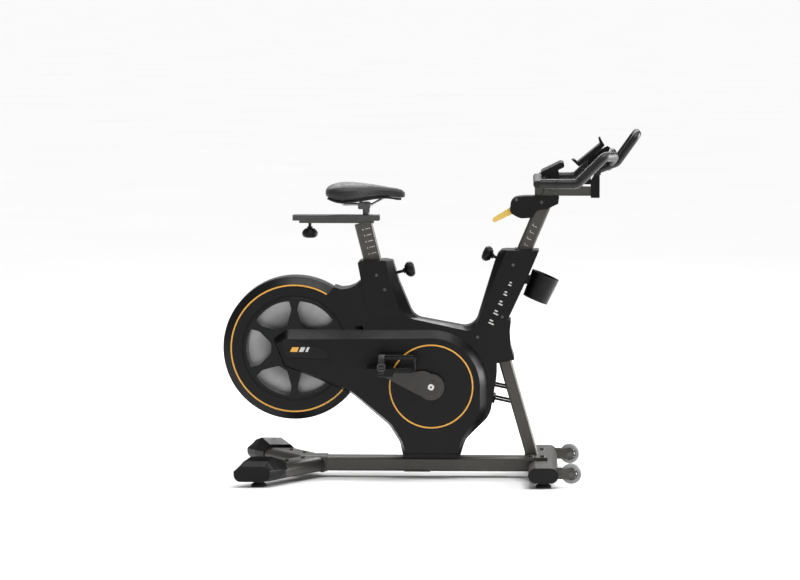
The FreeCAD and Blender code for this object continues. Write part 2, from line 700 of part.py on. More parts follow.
BODY_EDGE = [(-222, 637, 0), (-101, 629, 0), (-53, 516, 50), (138, 481, 45), (203, 693, 0),
             (310, 650, 0), (246, 511, 0), (211, 505, 0), (211, 330, 90), (190, 205, 80),
             (112, 128, 60), (93, 67, 2), (-86, 67, 2), (-97, 118, 60), (-131, 172, 80),
             (-254, 276, 10), (-330, 417, 0), (-273, 489.5, 0), (-207, 489.5, 12), (-194, 516, 12),
             (-223, 625, 0)]
BODY_FACE = [(-222, 637, 0), (-127, 627, 0), (-92, 520, 70), (137, 471, 30), (222, 685, 0),
             (310, 650, 0), (246, 511, 0), (211, 505, 0), (211, 330, 90), (190, 205, 80),
             (112, 128, 60), (93, 67, 2), (-86, 67, 2), (-97, 118, 60), (-131, 172, 80),
             (-254, 276, 10), (-330, 417, 0), (-273, 489.5, 0), (-207, 489.5, 12), (-194, 516, 12),
             (-223, 625, 0)]
DRIVE_EDGE = [(-501, 448, 8), (-460, 478, 25), (181, 478, 177.5), (181, 212, 80), (112, 128, 60),
              (93, 79.5, 2), (-86, 79.5, 2), (-97, 118, 40), (-131, 172, 60), (-254, 276, 120),
              (-404, 337, 80), (-467, 359, 25)]
DRIVE_FACE = [(-490, 436, 8), (-456, 449, 25), (158, 455, 154.5), (158, 216, 70), (98, 128, 60),
              (85, 86, 2), (-78, 86, 2), (-88, 122, 40), (-124, 180, 60), (-250, 284, 120),
              (-402, 345, 80), (-461, 367, 20)]
FENDER_EDGE = [(-327, 591, 3), (-308, 614, 4), (-286, 607, 20), (-264, 609, 20), (-242, 617, 20),
               (-223, 633, 0), (-223, 625, 0), (-194, 516, 12), (-207, 489.5, 12), (-279, 489.5, 4),
               (-316, 545, 60)]


def guard_blank(name, radius_trim=0.0):
    """The flywheel guard's full outer volume."""
    radius = size("guard_radius") + radius_trim
    face = size("guard_face_radius")
    half = size("guard_half")
    shoulder = size("guard_shoulder")
    return revolved(name, [(0, -half), (face, -half), (radius, -shoulder), (radius, shoulder),
                           (face, half), (0, half)], FLYWHEEL, -ACROSS)


def body_cover():
    """One half of the main casing, from the seat tower round the crank to the head."""
    side = size("body_half")
    shoulder = size("body_shoulder")
    wall = size("cover_wall")
    outer = fused("BodyOuter", padded("BodyMiddle", BODY_EDGE, shoulder),
                  lofted("BodyBevel", [(shoulder, BODY_EDGE), (side, BODY_FACE)]))
    inner = padded("BodyInner", inset(BODY_FACE, wall), side - wall + 5, offset=-5)
    guard = cylinder("BodyGuardCut", "Sizes.guard_radius + 0.5", 200, FLYWHEEL - ACROSS * 100, ACROSS)
    window = cylinder("BodyWindow", 150, 60, CRANK - ACROSS * 90, ACROSS)
    window_rear = box("BodyWindowRear", Vector(-200, -90, 300), 203, 60, 150)
    floor_gap = box("BodyFloorGap", Vector(-90, -38, 60), 190, 80, 30)
    right = cut("BodyRight", outer, inner, guard, window, window_rear, floor_gap,
                upright_bar("BodyUpright"), seat_tube_bar("BodySeat", 0, -420, 0),
                head_tube_bar("BodyHead", 0, 0, 245))
    node(right, "body_cover_right")
    node(mirrored("BodyLeft", right), "body_cover_left")


def post_collars():
    """Moulded rings that close the casing round the seat post and the handlebar post."""
    side = size("body_half")
    shoulder = size("body_shoulder")
    def collar(name, edge, face):
        middle = padded(name + "Middle", edge, 2 * shoulder, offset=-shoulder)
        right = lofted(name + "Bevel", [(shoulder, edge), (side, face)])
        return fused(name + "Blank", middle, right, mirrored(name + "BevelLeft", right))
    seat = collar("SeatCollar", [(-222, 637, 0), (-232, 690, 0), (-222, 697, 0), (-121, 696, 0),
                                 (-101, 629, 0)],
                  [(-222, 637, 0), (-232, 690, 0), (-222, 697, 0), (-143, 698, 0), (-127, 627, 0)])
    head = collar("HeadCollar", [(203, 693, 0), (214, 720, 0), (227, 732, 0), (344, 731, 0),
                                 (310, 650, 0)],
                  [(222, 685, 0), (238, 722, 0), (243, 732, 0), (344, 731, 0), (310, 650, 0)])
    gap = 2 * size("post_clearance") + 0.4
    seat_hole = leaning_prism("SeatCollarHole", along(SEAT, SEAT_LEAN, -80), SEAT_LEAN,
                              size("seat_post_depth") + gap, size("post_width") + gap, 120)
    head_hole = leaning_prism("HeadCollarHole", along(HEAD, HEAD_LEAN, 130), HEAD_LEAN,
                              size("handlebar_post_depth") + gap, size("post_width") + gap, 170)
    node(group("PostCollars",
               cut("SeatCollar", seat, seat_hole, seat_tube_bar("CollarSeat", 0, -120, -8),
                   knob_hole("SeatCollarPin", seat_knob_axis())),
               cut("HeadCollar", head, head_hole, head_tube_bar("CollarHead", 0, 100, 245),
                   knob_hole("HeadCollarPin", head_knob_axis()))), "post_collars")


def rear_fender():
    half = size("guard_half") + 2
    outer = padded("FenderOuter", FENDER_EDGE, 2 * half, offset=-half)
    wall = size("cover_wall")
    inner = padded("FenderInner", inset(FENDER_EDGE, wall), 2 * (half - wall), offset=wall - half)
    node(cut("Fender", outer, inner, guard_blank("FenderGuard")), "rear_fender")


def drive_cover():
    """The raised side casing over the belt drive, from the flywheel's axle to the crank."""
    low = size("body_half")
    high = size("drive_face")
    wall = size("cover_wall")
    outer = lofted("DriveOuter", [(low, DRIVE_EDGE), (high, DRIVE_FACE)])
    inner = lofted("DriveInner", [(low - 1, inset(DRIVE_EDGE, wall)), (high - wall, inset(DRIVE_FACE, wall))])
    hole = cylinder("DriveHole", "Sizes.spindle_radius + 3", 200, CRANK - ACROSS * 100, ACROSS)
    badge = padded("BadgeRecess", [(-472, 453, 4), (-434, 450, 6), (-327, 414, 8), (-318, 398, 8),
                                   (-332, 384, 8), (-458, 390, 8), (-471, 411, 6)], 1.2,
                   offset=high - 1.2)
    shell = cut("DriveShell", outer, inner, hole, badge, fender_clear())
    node(shell, "drive_cover_right")
    node(mirrored("DriveLeft", shell), "drive_cover_left")


def fender_clear():
    """Room for the fender, which stands a little proud of the guard's face."""
    return padded("FenderRoom", inset(FENDER_EDGE, -0.2), 2.2, offset=size("body_half"))


def ring(name, radius, centre, offset, angle=360, start=0):
    width = size("ring_width")
    return revolved(name, ring_profile(radius - width / 2, radius + width / 2, offset,
                                       offset + size("ring_thickness")), centre, -ACROSS, angle, start)


def trim_rings():
    crank = ring("CrankRing", size("drive_ring_radius"), CRANK, size("drive_face"))
    guard = ring("GuardRing", size("guard_ring_radius"), FLYWHEEL, size("guard_half"), 260.5, 59)
    node(group("TrimRings", crank, mirrored("CrankRingLeft", crank), guard,
               mirrored("GuardRingLeft", guard)), "trim_rings")


def flywheel_guards():
    """Fixed shells round the flywheel, each with six spokes between open windows."""
    radius = size("guard_radius")
    face = size("guard_face_radius")
    half = size("guard_half")
    shoulder = size("guard_shoulder")
    wall = size("cover_wall")
    shell = revolved("GuardShell", [(32, half), (162, half), (163.5, half - 1.5), (167, half - 1.5),
                                    (168.5, half), (face, half), (radius, shoulder), (radius, 0),
                                    (radius - wall, 0), (radius - wall, shoulder - wall),
                                    (face - wall, half - wall), (32, half - wall)],
                     FLYWHEEL, -ACROSS)
    windows = []
    for i in range(6):
        outline = [(74, -16, 12), (112, -54, 20), (139, -61, 5), (164, 0, 130), (139, 61, 5),
                   (112, 54, 20), (74, 16, 12)]
        opening = padded(f"Window{i}", outline, 30, offset=half - 15)
        opening.Placement = Placement(FLYWHEEL, Rotation(Vector(0, -1, 0), 60 * i))
        windows.append(opening)
    slot = box("BrakeSlot", Vector(-245, -30, FLYWHEEL.z - 25), 50, 60, 50)
    right = cut("GuardRight", shell, slot, *windows)
    node(both_sides("Guards", right), "flywheel_guards")


def lower_shroud():
    """Cover over the joint of the head tube and the front upright."""
    edge = [(211, 510, 0), (245, 510, 0), (256, 508, 4), (252, 470, 60), (255, 426, 60),
            (268, 383, 3), (211, 371, 3)]
    half = size("body_half")
    outer = padded("ShroudOuter", edge, 2 * half, offset=-half)
    wall = size("cover_wall")
    inner = padded("ShroudInner", inset(edge, wall), 2 * (half - wall), offset=wall - half)
    head = padded("ShroudHead", BODY_EDGE, 200, offset=-100)
    node(cut("Shroud", outer, inner, upright_bar("ShroudUpright"),
             head_tube_bar("ShroudTube", 0, 0, 245), head), "lower_shroud")


def cup_holder():
    """An open cup on a short bracket in front of the head."""
    rim = Vector(366, 0, 650)
    base = along(rim, HEAD_LEAN, -size("cup_height"))
    top = size("cup_radius")
    low = top - 5
    wall = size("cup_wall")
    height = size("cup_height")
    cup = revolved("Cup", [(0, 0), (low, 0), (top, height), (top - wall, height),
                           (low - wall, wall), (0, wall)], base, along(Vector(), HEAD_LEAN, 1))
    arm = box("CupArm", Vector(290, -18, 622), 46, 36, 26)
    solid = revolved("CupSolid", [(0, 0), (low - 1, 0), (top - 1, height + 20), (0, height + 20)], base,
                     along(Vector(), HEAD_LEAN, 1))
    cover = padded("CupCover", BODY_EDGE, 200, offset=-100)
    node(fused("CupHolder", cup, cut("CupBracket", arm, solid, cover)), "cup_holder")


# ---------------------------------------------------------------- seat

def seat_knob_axis():
    """Start point and direction of the seat height knob's pin."""
    return along(SEAT, SEAT_LEAN, -60), along(Vector(), 90 + SEAT_LEAN, 1)


def head_knob_axis():
    """Start point and direction of the handlebar height knob's pin."""
    return along(HEAD, HEAD_LEAN, 192), along(Vector(), HEAD_LEAN - 90, 1)


def knob_hole(name, axis):
    base, direction = axis
    return cylinder(name, "Sizes.stem_radius + 1", 120, base, direction)


def knob(name, label, base, direction, start, stem):
    """A round-shouldered knob on a stem that starts a distance out from base."""
    radius = size("knob_radius")
    shank = size("stem_radius")
    low = start + stem
    high = low + size("knob_length")
    profile = [(0, start), (shank, start), (shank, low - 6), (9, low - 6), (9, low), (15, low),
               (radius - 3, low + 7), (radius, low + 13), (radius, high - 10), (radius - 4, high - 3),
               (14, high), (0, high)]
    node(revolved(name, profile, base, direction), label)


def knobs():
    base, direction = seat_knob_axis()
    knob("SeatKnob", "seat_knob", base, direction, 29, 64)
    base, direction = head_knob_axis()
    knob("HeadKnob", "head_knob", base, direction, 25, 63)
    knob("RailKnob", "rail_knob", Vector(-387, 0, size("rail_bottom")), -UP, 0.3, 18)


def seat_post():
    depth = size("seat_post_depth")
    post = leaning_prism("SeatPostBar", along(SEAT, SEAT_LEAN, 121 - size("seat_post_length")), SEAT_LEAN,
                         depth, size("post_width"), cell("seat_post_length"), 8)
    rail = box("SeatRail", Vector(-420, -22, size("rail_bottom")), 238, cell("rail_half_width") + " * 2",
               "Sizes.rail_top - Sizes.rail_bottom")
    slot = box("SeatRailSlot", Vector(-410, -8, size("rail_bottom") + 4), 218, 16, 40)
    wall = size("steel_wall")
    hollow = leaning_prism("SeatPostHollow", along(SEAT, SEAT_LEAN, 110 - size("seat_post_length")),
                           SEAT_LEAN, depth - 2 * wall, size("post_width") - 2 * wall,
                           size("seat_post_length"), 5)
    node(cut("SeatPost", fused("SeatPostBlank", post, rail), slot, hollow), "seat_post")


def seat_slider():
    """An inverted channel that slides on the rail, with the saddle's stem on top."""
    low = size("rail_bottom") + 8
    top = size("rail_top") + 0.4
    outer = box("SliderOuter", Vector(-441, -26, low), 277, 52, top + 6 - low)
    channel = box("SliderChannel", Vector(-445, -22.4, low - 5), 290, 44.8, top + 5 - low)
    stem = cylinder("SaddleStem", 11, 14, Vector(-207, 0, top + 6), UP)
    ear = padded("SaddleEar", [(-218, 850, 2), (-196, 850, 2), (-196, 883, 10.9), (-218, 883, 10.9)],
                 20, offset=-10)
    pin = cylinder("EarBore", 4.05, 60, Vector(-207, -30, 872), ACROSS)
    node(cut("Slider", fused("SliderBlank", cut("SliderCap", outer, channel), stem, ear), pin),
         "seat_slider")


def saddle_clamp():
    """Two jaws on the saddle's rails, joined by the tilt pin."""
    cheek = padded("Cheek", [(-232, 860, 5), (-194, 860, 5), (-194, 881, 6), (-232, 881, 6)], 18,
                   offset=10.5)
    pin = cylinder("TiltPin", 4, 60, Vector(-207, -30, 872), ACROSS)
    nut = hexagon("TiltNut", Vector(-207, -33, 872), ACROSS, 7, 5)
    blank = fused("ClampBlank", cheek, mirrored("CheekLeft", cheek), pin, nut)
    holes = cylinder("ClampHoleRight", cell("saddle_rail_radius"), 100, Vector(-260, -22, 874), FORWARD)
    node(cut("Clamp", blank, holes, mirrored("ClampHoleLeft", holes)), "saddle_clamp")


def saddle_section(x, half_width, low, high):
    """A closed spline round a saddle cross-section: crowned above, square-sided below."""
    points = []
    count = 24
    middle = low + (high - low) * 0.45
    for i in range(count):
        angle = 2 * math.pi * i / count
        above = math.sin(angle) > 0
        power = 0.8 if above else 0.5
        across = math.copysign(abs(math.cos(angle)) ** power, math.cos(angle))
        rise = math.copysign(abs(math.sin(angle)) ** power, math.sin(angle))
        reach = high - middle if above else middle - low
        points.append(Vector(x, half_width * across, middle + reach * rise))
    curve = Part.BSplineCurve()
    curve.interpolate(points, PeriodicFlag=True)
    return Part.Wire(curve.toShape())


SADDLE_SECTIONS = [(-337, 48, 906, 922), (-328, 76, 896, 934), (-306, 92, 888, 943),
                   (-272, 96, 884, 947), (-236, 84, 888, 945), (-200, 60, 893, 941),
                   (-165, 40, 897, 937), (-125, 27, 896, 932), (-95, 23, 893, 925),
                   (-80, 15, 895, 912)]


def saddle():
    """Cushion and the hard shell under it."""
    cushion = doc.addObject("Part::Feature", "Cushion")
    cushion.Shape = Part.makeLoft([saddle_section(*row) for row in SADDLE_SECTIONS], True, False)
    rails = rod("SaddleRailRight", [(-286, -25, 883), (-279, -22, 874), (-188, -22, 874),
                                    (-153, -17, 893)], size("saddle_rail_radius"), 10)
    base_rows = [(x, half_width * 0.86, low - 5, low + 14)
                 for x, half_width, low, high in SADDLE_SECTIONS[1:-1]]
    base = doc.addObject("Part::Feature", "SaddleBase")
    base.Shape = Part.makeLoft([saddle_section(*row) for row in base_rows], True, False)
    shell = cut("SaddleShell", base, cushion)
    rails_left = mirrored("SaddleRailLeft", rails)
    node(group("RailPair", rails, rails_left), "saddle_rails")
    node(shell, "saddle_shell")
    node(cushion, "saddle_cushion")


# ---------------------------------------------------------------- handlebar

def handlebar_post():
    """The post with its fore-and-aft rail welded on top."""
    post = leaning_prism("HandlebarPostBar", along(HEAD, HEAD_LEAN, 120), HEAD_LEAN,
                         size("handlebar_post_depth"), size("post_width"), cell("handlebar_post_length"), 8)
    wall = size("steel_wall")
    hollow = leaning_prism("HandlebarPostHollow", along(HEAD, HEAD_LEAN, 110), HEAD_LEAN,
                           size("handlebar_post_depth") - 2 * wall, size("post_width") - 2 * wall,
                           size("handlebar_post_length") - 20, 5)
    rail = box("HandlebarRail", Vector(330, -22, 904), 178, 44, 28)
    node(cut("HandlebarPost", fused("HandlebarPostBlank", post, rail), hollow), "handlebar_post")


def lever_housing():
    edge = [(250, 850, 20), (256, 899, 28), (300, 903.5, 20), (408, 903.5, 4), (405, 879, 6),
            (370, 862, 10), (338, 858, 20), (322, 834, 6), (284, 832, 30)]
    outer = padded("HousingOuter", edge, 66, offset=-33)
    inner = padded("HousingInner", inset(edge, 4), 58, offset=-29)
    slot = box("HousingSlot", Vector(230, -8, 812), 60, 16, 86)
    pin = cylinder("LeverPin", 4, 66, Vector(286, -33, 866), ACROSS)
    post = leaning_prism("HousingPost", along(HEAD, HEAD_LEAN, 300), HEAD_LEAN,
                         size("handlebar_post_depth"), size("post_width"), 150, 8)
    node(fused("Housing", cut("HousingShell", outer, inner, slot, post),
               pin), "lever_housing")


def resistance_lever():
    hub = cylinder("LeverHub", 12, 13, Vector(286, -6.5, 866), ACROSS)
    blade = padded("LeverBlade", [(288, 876, 4), (256, 868, 10), (197, 831, 4), (196, 820, 4),
                                  (204, 818, 4), (262, 846, 10), (288, 856, 4)], 12, offset=-6)
    bore = cylinder("LeverBore", 4.05, 40, Vector(286, -20, 866), ACROSS)
    node(cut("Lever", fused("LeverBlank", hub, blade), bore), "resistance_lever")


def brake_magnets():
    """A carriage whose two magnet plates straddle the flywheel's rim."""
    z = FLYWHEEL.z
    near = box("MagnetNear", Vector(-262, -23, z - 18), 60, 5, 36)
    far = box("MagnetFar", Vector(-262, 18, z - 18), 60, 5, 36)
    bridge = box("MagnetBridge", Vector(-206, -23, z - 18), 8, 46, 36)
    guide = cylinder("MagnetRod", cell("stem_radius"), 38, Vector(-200, 0, z), FORWARD)
    node(fused("Magnets", near, far, bridge, guide), "brake_magnets")


def handlebar_clamp():
    block = padded("ClampBlock", [(508, 898, 2), (536, 898, 2), (536, 974, 2), (522, 974, 4), (508, 950, 4)],
                   60, offset=-30)
    saddle_plate = box("BarSaddle", Vector(332, -30, 932), 150, 60, 8)
    node(group("HandlebarClamps", block, saddle_plate), "handlebar_clamp")


def handlebar():
    """A rear cross grip, two rising side grips and a closed loop of horns."""
    grip = size("grip_radius")
    horn = size("horn_radius")
    rear = padded("RearGrip", [(325, 940, 10), (362, 940, 10), (362, 962, 10), (325, 962, 10)],
                  400, offset=-200)
    side = rod("SideGrip", [(345, -192, 952), (462, -200, 952), (548, -176, 1036), (580, -120, 1034),
                            (562, -50, 1000)], grip, 22)
    loop = rod("HornLoop", [(524, -76, 987), (590, -76, 1012), (654, -76, 1102), (654, 76, 1102),
                            (590, 76, 1012), (524, 76, 987)], horn, 26)
    yoke = box("BarYoke", Vector(512, -88, 974.2), 26, 176, 24)
    right = fused("HandlebarRight", loop, side)
    pair = fused("HandlebarPair", right, mirrored("SideGripLeft", side))
    node(fused("Handlebar", fused("HandlebarYoked", pair, yoke), rear), "handlebar")


def console():
    """The display slab on two short legs above the rear grip."""
    slab = padded("ConsoleSlab", [(0, 0, 8), (80, 0, 8), (80, 18, 8.9), (0, 18, 8.9)], 150, offset=-75)
    slab.Placement = Placement(Vector(354, 0, 964), Rotation(ACROSS, -26))
    leg = padded("ConsoleLeg", [(364, 940, 0), (412, 940, 0), (404, 992, 0), (372, 977, 0)], 8, offset=40)
    legs = fused("ConsoleLegs", leg, mirrored("ConsoleLegLeft", leg))
    node(fused("Console", slab, cut("ConsoleStand", legs, slab)), "console")


def holder_plate(name):
    """The cradle's plate in its own frame: its lower edge at the origin, rising along +X."""
    return box(name, Vector(0, -45, 0), 92, 90, 14)


HOLDER_TILT = Placement(Vector(474, 0, 1001), Rotation(ACROSS, -39.5))


def holder_bracket():
    """The upright that carries the phone holder."""
    fin = padded("HolderFin", [(512.2, 998.2, 0), (538, 998.2, 2), (570, 1056, 4), (560, 1062, 4),
                               (516, 1030, 10)], 12, offset=-6)
    arm = padded("HolderArm", [(496, 997, 0), (511.8, 998, 0), (524, 1050, 0), (504, 1050, 0)], 12,
                 offset=-6)
    foot = box("HolderFoot", Vector(496, -14, 990), 16, 28, 8)
    link = box("HolderLink", Vector(482, -14, 940), 26, 28, 50)
    clear = box("HolderClear", Vector(-20, -60, 0), 140, 120, 60)
    clear.Placement = HOLDER_TILT.multiply(clear.Placement)
    upright = cut("HolderUpright", fused("HolderBlank", arm, fin), clear)
    node(fused("HolderBracket", upright, foot, link), "holder_bracket")


def phone_holder():
    """A cradle with a fixed lower jaw and a sprung upper jaw in its slot."""
    jaw = padded("HolderJaw", [(-6, 0, 0), (0, 0, 0), (0, 18, 0), (-3, 28, 0), (-10, 32, 0), (-8, 18, 0)],
                 60, offset=-30)
    slot = box("HolderSlot", Vector(52, -12, 4), 50, 24, 5)
    blank = cut("CradleBlank", fused("CradleJoined", holder_plate("HolderPlate"), jaw), slot)
    node(copied("PhoneHolder", blank, HOLDER_TILT), "phone_holder")
    tongue = box("ClawTongue", Vector(56, -11.6, 4.4), 38, 23.2, 4.2)
    claw = padded("ClawJaw", [(92.4, 0, 0), (100, 0, 0), (102, 16, 0), (106, 30, 0), (99, 30, 0),
                              (92.4, 16, 0)], 60, offset=-30)
    node(copied("HolderClaw", fused("ClawBlank", tongue, claw), HOLDER_TILT), "holder_claw")


# ---------------------------------------------------------------- wheels and feet

def transport_wheels():
    radius = size("wheel_radius")
    half = size("wheel_width") / 2
    bore = 5 + size("running_gap")
    for name, side in (("Right", -1), ("Left", 1)):
        centre = Vector(size("wheel_x"), side * size("wheel_y"), size("wheel_z"))
        tyre = revolved("Tyre" + name, [(23, -half), (radius - 3, -half), (radius, -half + 4),
                                        (radius, half - 4), (radius - 3, half), (23, half)], centre, ACROSS)
        rim = revolved("Rim" + name, [(bore, -half), (10, -half), (10, -4), (20, -4), (20, -half),
                                      (23, -half), (23, half), (20, half), (20, 4), (10, 4),
                                      (10, half), (bore, half)], centre, ACROSS)
        holes = [cylinder(f"RimHole{name}{i}", 2.6, 40,
                          centre + Rotation(ACROSS, 45 * i).multVec(Vector(15, -20, 0)), ACROSS)
                 for i in range(8)]
        node(group("Wheel" + name, tyre, cut("RimDrilled" + name, rim, *holes)),
             "wheel_" + name.lower())


def levelling_feet():
    radius = size("foot_radius")
    shank = size("stem_radius")
    profile = [(0, 0), (radius, 0), (radius, 6), (17, 12), (17, 17.7), (shank, 17.7), (shank, 40), (0, 40)]
    for end, foot_x in (("front", 360), ("rear", -size("foot_x"))):
        for hand, side in (("right", -1), ("left", 1)):
            name = f"foot_{end}_{hand}"
            node(revolved("Foot" + end.title() + hand.title(), profile,
                          Vector(foot_x, side * size("foot_y"), 0), UP), name)


# ---------------------------------------------------------------- build, check, write

def build():
    main_beam()
    rear_frame()
    front_stabilizer()
    end_caps()
    wheel_brackets()
    frame_bolts()
    front_upright()
    head_tube()
    seat_tube()
    top_tube()
    bottom_bracket()
    bb_bearings()
    rear_dropouts()
    flywheel_axle()
    flywheel()
    drive_belt()
    crank_pulley()
    spindles()
    crank_arms()
    pedal("Right", -1, 0)
    pedal("Left", 1, 12)
    body_cover()
    post_collars()
    rear_fender()
    drive_cover()
    trim_rings()
    flywheel_guards()
    lower_shroud()
    cup_holder()
    post_bushes()
    knobs()
    seat_post()
    seat_slider()
    saddle_clamp()
    saddle()
    handlebar_post()
    lever_housing()
    resistance_lever()
    brake_magnets()
    handlebar_clamp()
    handlebar()
    console()
    holder_bracket()
    phone_holder()
    transport_wheels()
    levelling_feet()
    doc.recompute()


def check():
    """Stop unless every object computed and every sub-part is a valid shape."""
    for feature in doc.Objects:
        if "Invalid" in feature.State or "Error" in feature.State:
            raise RuntimeError(f"{feature.Name} failed: {feature.State}")
    for feature in nodes:
        shape = feature.Shape
        if shape.isNull() or not shape.isValid() or shape.Volume <= 0:
            raise RuntimeError(f"{feature.Label} has no valid shape")


def write():
    os.makedirs("parts", exist_ok=True)
    for feature in nodes:
        feature.Shape.exportStep(f"parts/{feature.Label}.step")
        print(f"{feature.Label}: {len(feature.Shape.Solids)} solids, {feature.Shape.Volume / 1000:.1f} cm3")


build()
check()
write()
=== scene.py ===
"""Looks of the indoor exercise bike: materials, small details, floor, light and camera."""
import json
import math

import bmesh
import bpy
from mathutils import Euler, Matrix, Vector
from mathutils.bvhtree import BVHTree


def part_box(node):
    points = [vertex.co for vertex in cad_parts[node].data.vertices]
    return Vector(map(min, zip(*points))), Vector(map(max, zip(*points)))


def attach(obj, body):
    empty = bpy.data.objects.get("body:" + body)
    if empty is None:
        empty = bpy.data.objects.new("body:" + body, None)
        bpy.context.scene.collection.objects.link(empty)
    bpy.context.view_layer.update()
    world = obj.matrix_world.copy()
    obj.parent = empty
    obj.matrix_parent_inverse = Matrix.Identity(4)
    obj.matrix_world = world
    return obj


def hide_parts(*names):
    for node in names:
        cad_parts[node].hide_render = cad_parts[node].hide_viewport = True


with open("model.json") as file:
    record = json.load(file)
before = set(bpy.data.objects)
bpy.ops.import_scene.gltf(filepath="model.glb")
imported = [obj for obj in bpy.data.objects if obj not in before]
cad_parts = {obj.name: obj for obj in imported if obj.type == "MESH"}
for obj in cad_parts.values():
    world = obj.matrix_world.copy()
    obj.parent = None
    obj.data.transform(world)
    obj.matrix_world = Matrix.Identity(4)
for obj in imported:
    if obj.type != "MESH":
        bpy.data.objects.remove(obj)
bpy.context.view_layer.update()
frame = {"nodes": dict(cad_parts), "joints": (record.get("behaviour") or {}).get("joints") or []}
nodes = frame["nodes"]
MM = 0.001
RIGHT, LEFT = -1, 1
SIDES = (("right", RIGHT), ("left", LEFT))

# Half widths in mm of the faces that details sit on.
COVER_SIDE = 57
DRIVE_COVER_SIDE = 86.8
POST_SIDE = 25
LEVER_HOUSING_SIDE = 33

# Angles in degrees from upright or level.
SEAT_POST_LEAN = -14.4
HANDLEBAR_POST_LEAN = 23.05
HEAD_COVER_LEAN = 27.5
CRANK_ANGLE = 19.4
CONSOLE_TILT = -26

# The saddle pad, in metres.
PAD_VOXEL = 0.0058
PAD_SHRINK = 0.0028
PAD_SWELL_CAP = 0.005
PAD_HELD_BAND = 0.012
CHANNEL_DEPTH = 0.0035
CHANNEL_WIDTH = 0.011
STITCH_LENGTH = 0.0055
CLOTH_FRAMES = 20


# ---------------------------------------------------------------- node trees

class Tree:
    """A small helper that builds one material's node tree round a Principled shader."""

    def __init__(self, name):
        self.material = bpy.data.materials.new(name)
        self.material.use_nodes = True
        self.nodes = self.material.node_tree.nodes
        self.links = self.material.node_tree.links
        self.shader = self.nodes["Principled BSDF"]
        self.place = self.nodes.new("ShaderNodeTexCoord").outputs["Object"]

    def set(self, **values):
        """Give shader inputs constant values, with underscores for spaces in their names."""
        for name, value in values.items():
            self.shader.inputs[name.replace("_", " ")].default_value = value

    def join(self, source, target):
        self.links.new(source, target)

    def noise(self, scale, detail=3.0, roughness=0.5):
        """Soft noise over the object's own coordinates."""
        node = self.nodes.new("ShaderNodeTexNoise")
        node.inputs["Scale"].default_value = scale
        node.inputs["Detail"].default_value = detail
        node.inputs["Roughness"].default_value = roughness
        self.join(self.place, node.inputs["Vector"])
        return node.outputs["Fac"]

    def cells(self, scale, feature="F1", output="Distance"):
        """Voronoi cells: their distance, colour or edges."""
        node = self.nodes.new("ShaderNodeTexVoronoi")
        node.feature = feature
        node.inputs["Scale"].default_value = scale
        self.join(self.place, node.inputs["Vector"])
        return node.outputs[output]

    def ramp(self, source, stops):
        """Colours or grey levels at positions along a 0 to 1 value."""
        node = self.nodes.new("ShaderNodeValToRGB")
        elements = node.color_ramp.elements
        while len(elements) < len(stops):
            elements.new(0.5)
        for element, (position, colour) in zip(elements, stops):
            element.position = position
            rgb = colour if isinstance(colour, tuple) else (colour, colour, colour)
            element.color = (*rgb, 1.0)
        self.join(source, node.inputs["Fac"])
        return node.outputs["Color"]

    def math(self, operation, first, second=0.0):
        """An arithmetic node on numbers or sockets."""
        node = self.nodes.new("ShaderNodeMath")
        node.operation = operation
        for socket, value in zip(node.inputs, (first, second)):
            if isinstance(value, (int, float)):
                socket.default_value = value
            else:
                self.join(value, socket)
        return node.outputs["Value"]

    def mix(self, factor, first, second):
        """A blend of two colours, each a constant or a socket."""
        node = self.nodes.new("ShaderNodeMix")
        node.data_type = "RGBA"
        sockets = (node.inputs[0], node.inputs[6], node.inputs[7])
        for socket, value in zip(sockets, (factor, first, second)):
            if isinstance(value, tuple):
                socket.default_value = (*value, 1.0)
            elif isinstance(value, float):
                socket.default_value = value
            else:
                self.join(value, socket)
        return node.outputs[2]

    def bump(self, height, strength, distance, below=None):
        """A bumped normal, laid over another one if that is given."""
        node = self.nodes.new("ShaderNodeBump")
        node.inputs["Strength"].default_value = strength
        node.inputs["Distance"].default_value = distance
        self.join(height, node.inputs["Height"])
        if below is not None:
            self.join(below, node.inputs["Normal"])
        return node.outputs["Normal"]

    def edges(self):
        """High along worn convex edges."""
        geometry = self.nodes.new("ShaderNodeNewGeometry")
        return self.ramp(geometry.outputs["Pointiness"], [(0.52, 0.0), (0.58, 1.0)])

    def finish(self, colour=None, roughness=None, normal=None):
        """Join the given sockets to the shader and return the material."""
        for source, name in ((colour, "Base Color"), (roughness, "Roughness"), (normal, "Normal")):
            if source is not None:
                self.join(source, self.shader.inputs[name])
        return self.material


def scaled(colour, factor):
    """A lighter or darker version of a colour."""
    return tuple(channel * factor for channel in colour)


def moulded_plastic(name, colour, rough=0.45, grain=900.0, depth=0.00008):
    """Injection-moulded plastic: spark-eroded grain, slight cloudiness, rubbed edges."""
    tree = Tree(name)
    tree.set(Specular_IOR_Level=0.22)
    clouds = tree.noise(9.0, 4.0)
    tone = tree.ramp(clouds, [(0.3, scaled(colour, 0.88)), (0.7, scaled(colour, 1.14))])
    worn = tree.mix(tree.math("MULTIPLY", tree.edges(), 0.35), tone, scaled(colour, 2.6))
    gloss = tree.ramp(tree.noise(38.0, 5.0), [(0.25, rough - 0.05), (0.75, rough + 0.07)])
    grainy = tree.bump(tree.noise(grain, 2.0), 0.35, depth)
    return tree.finish(worn, gloss, grainy)


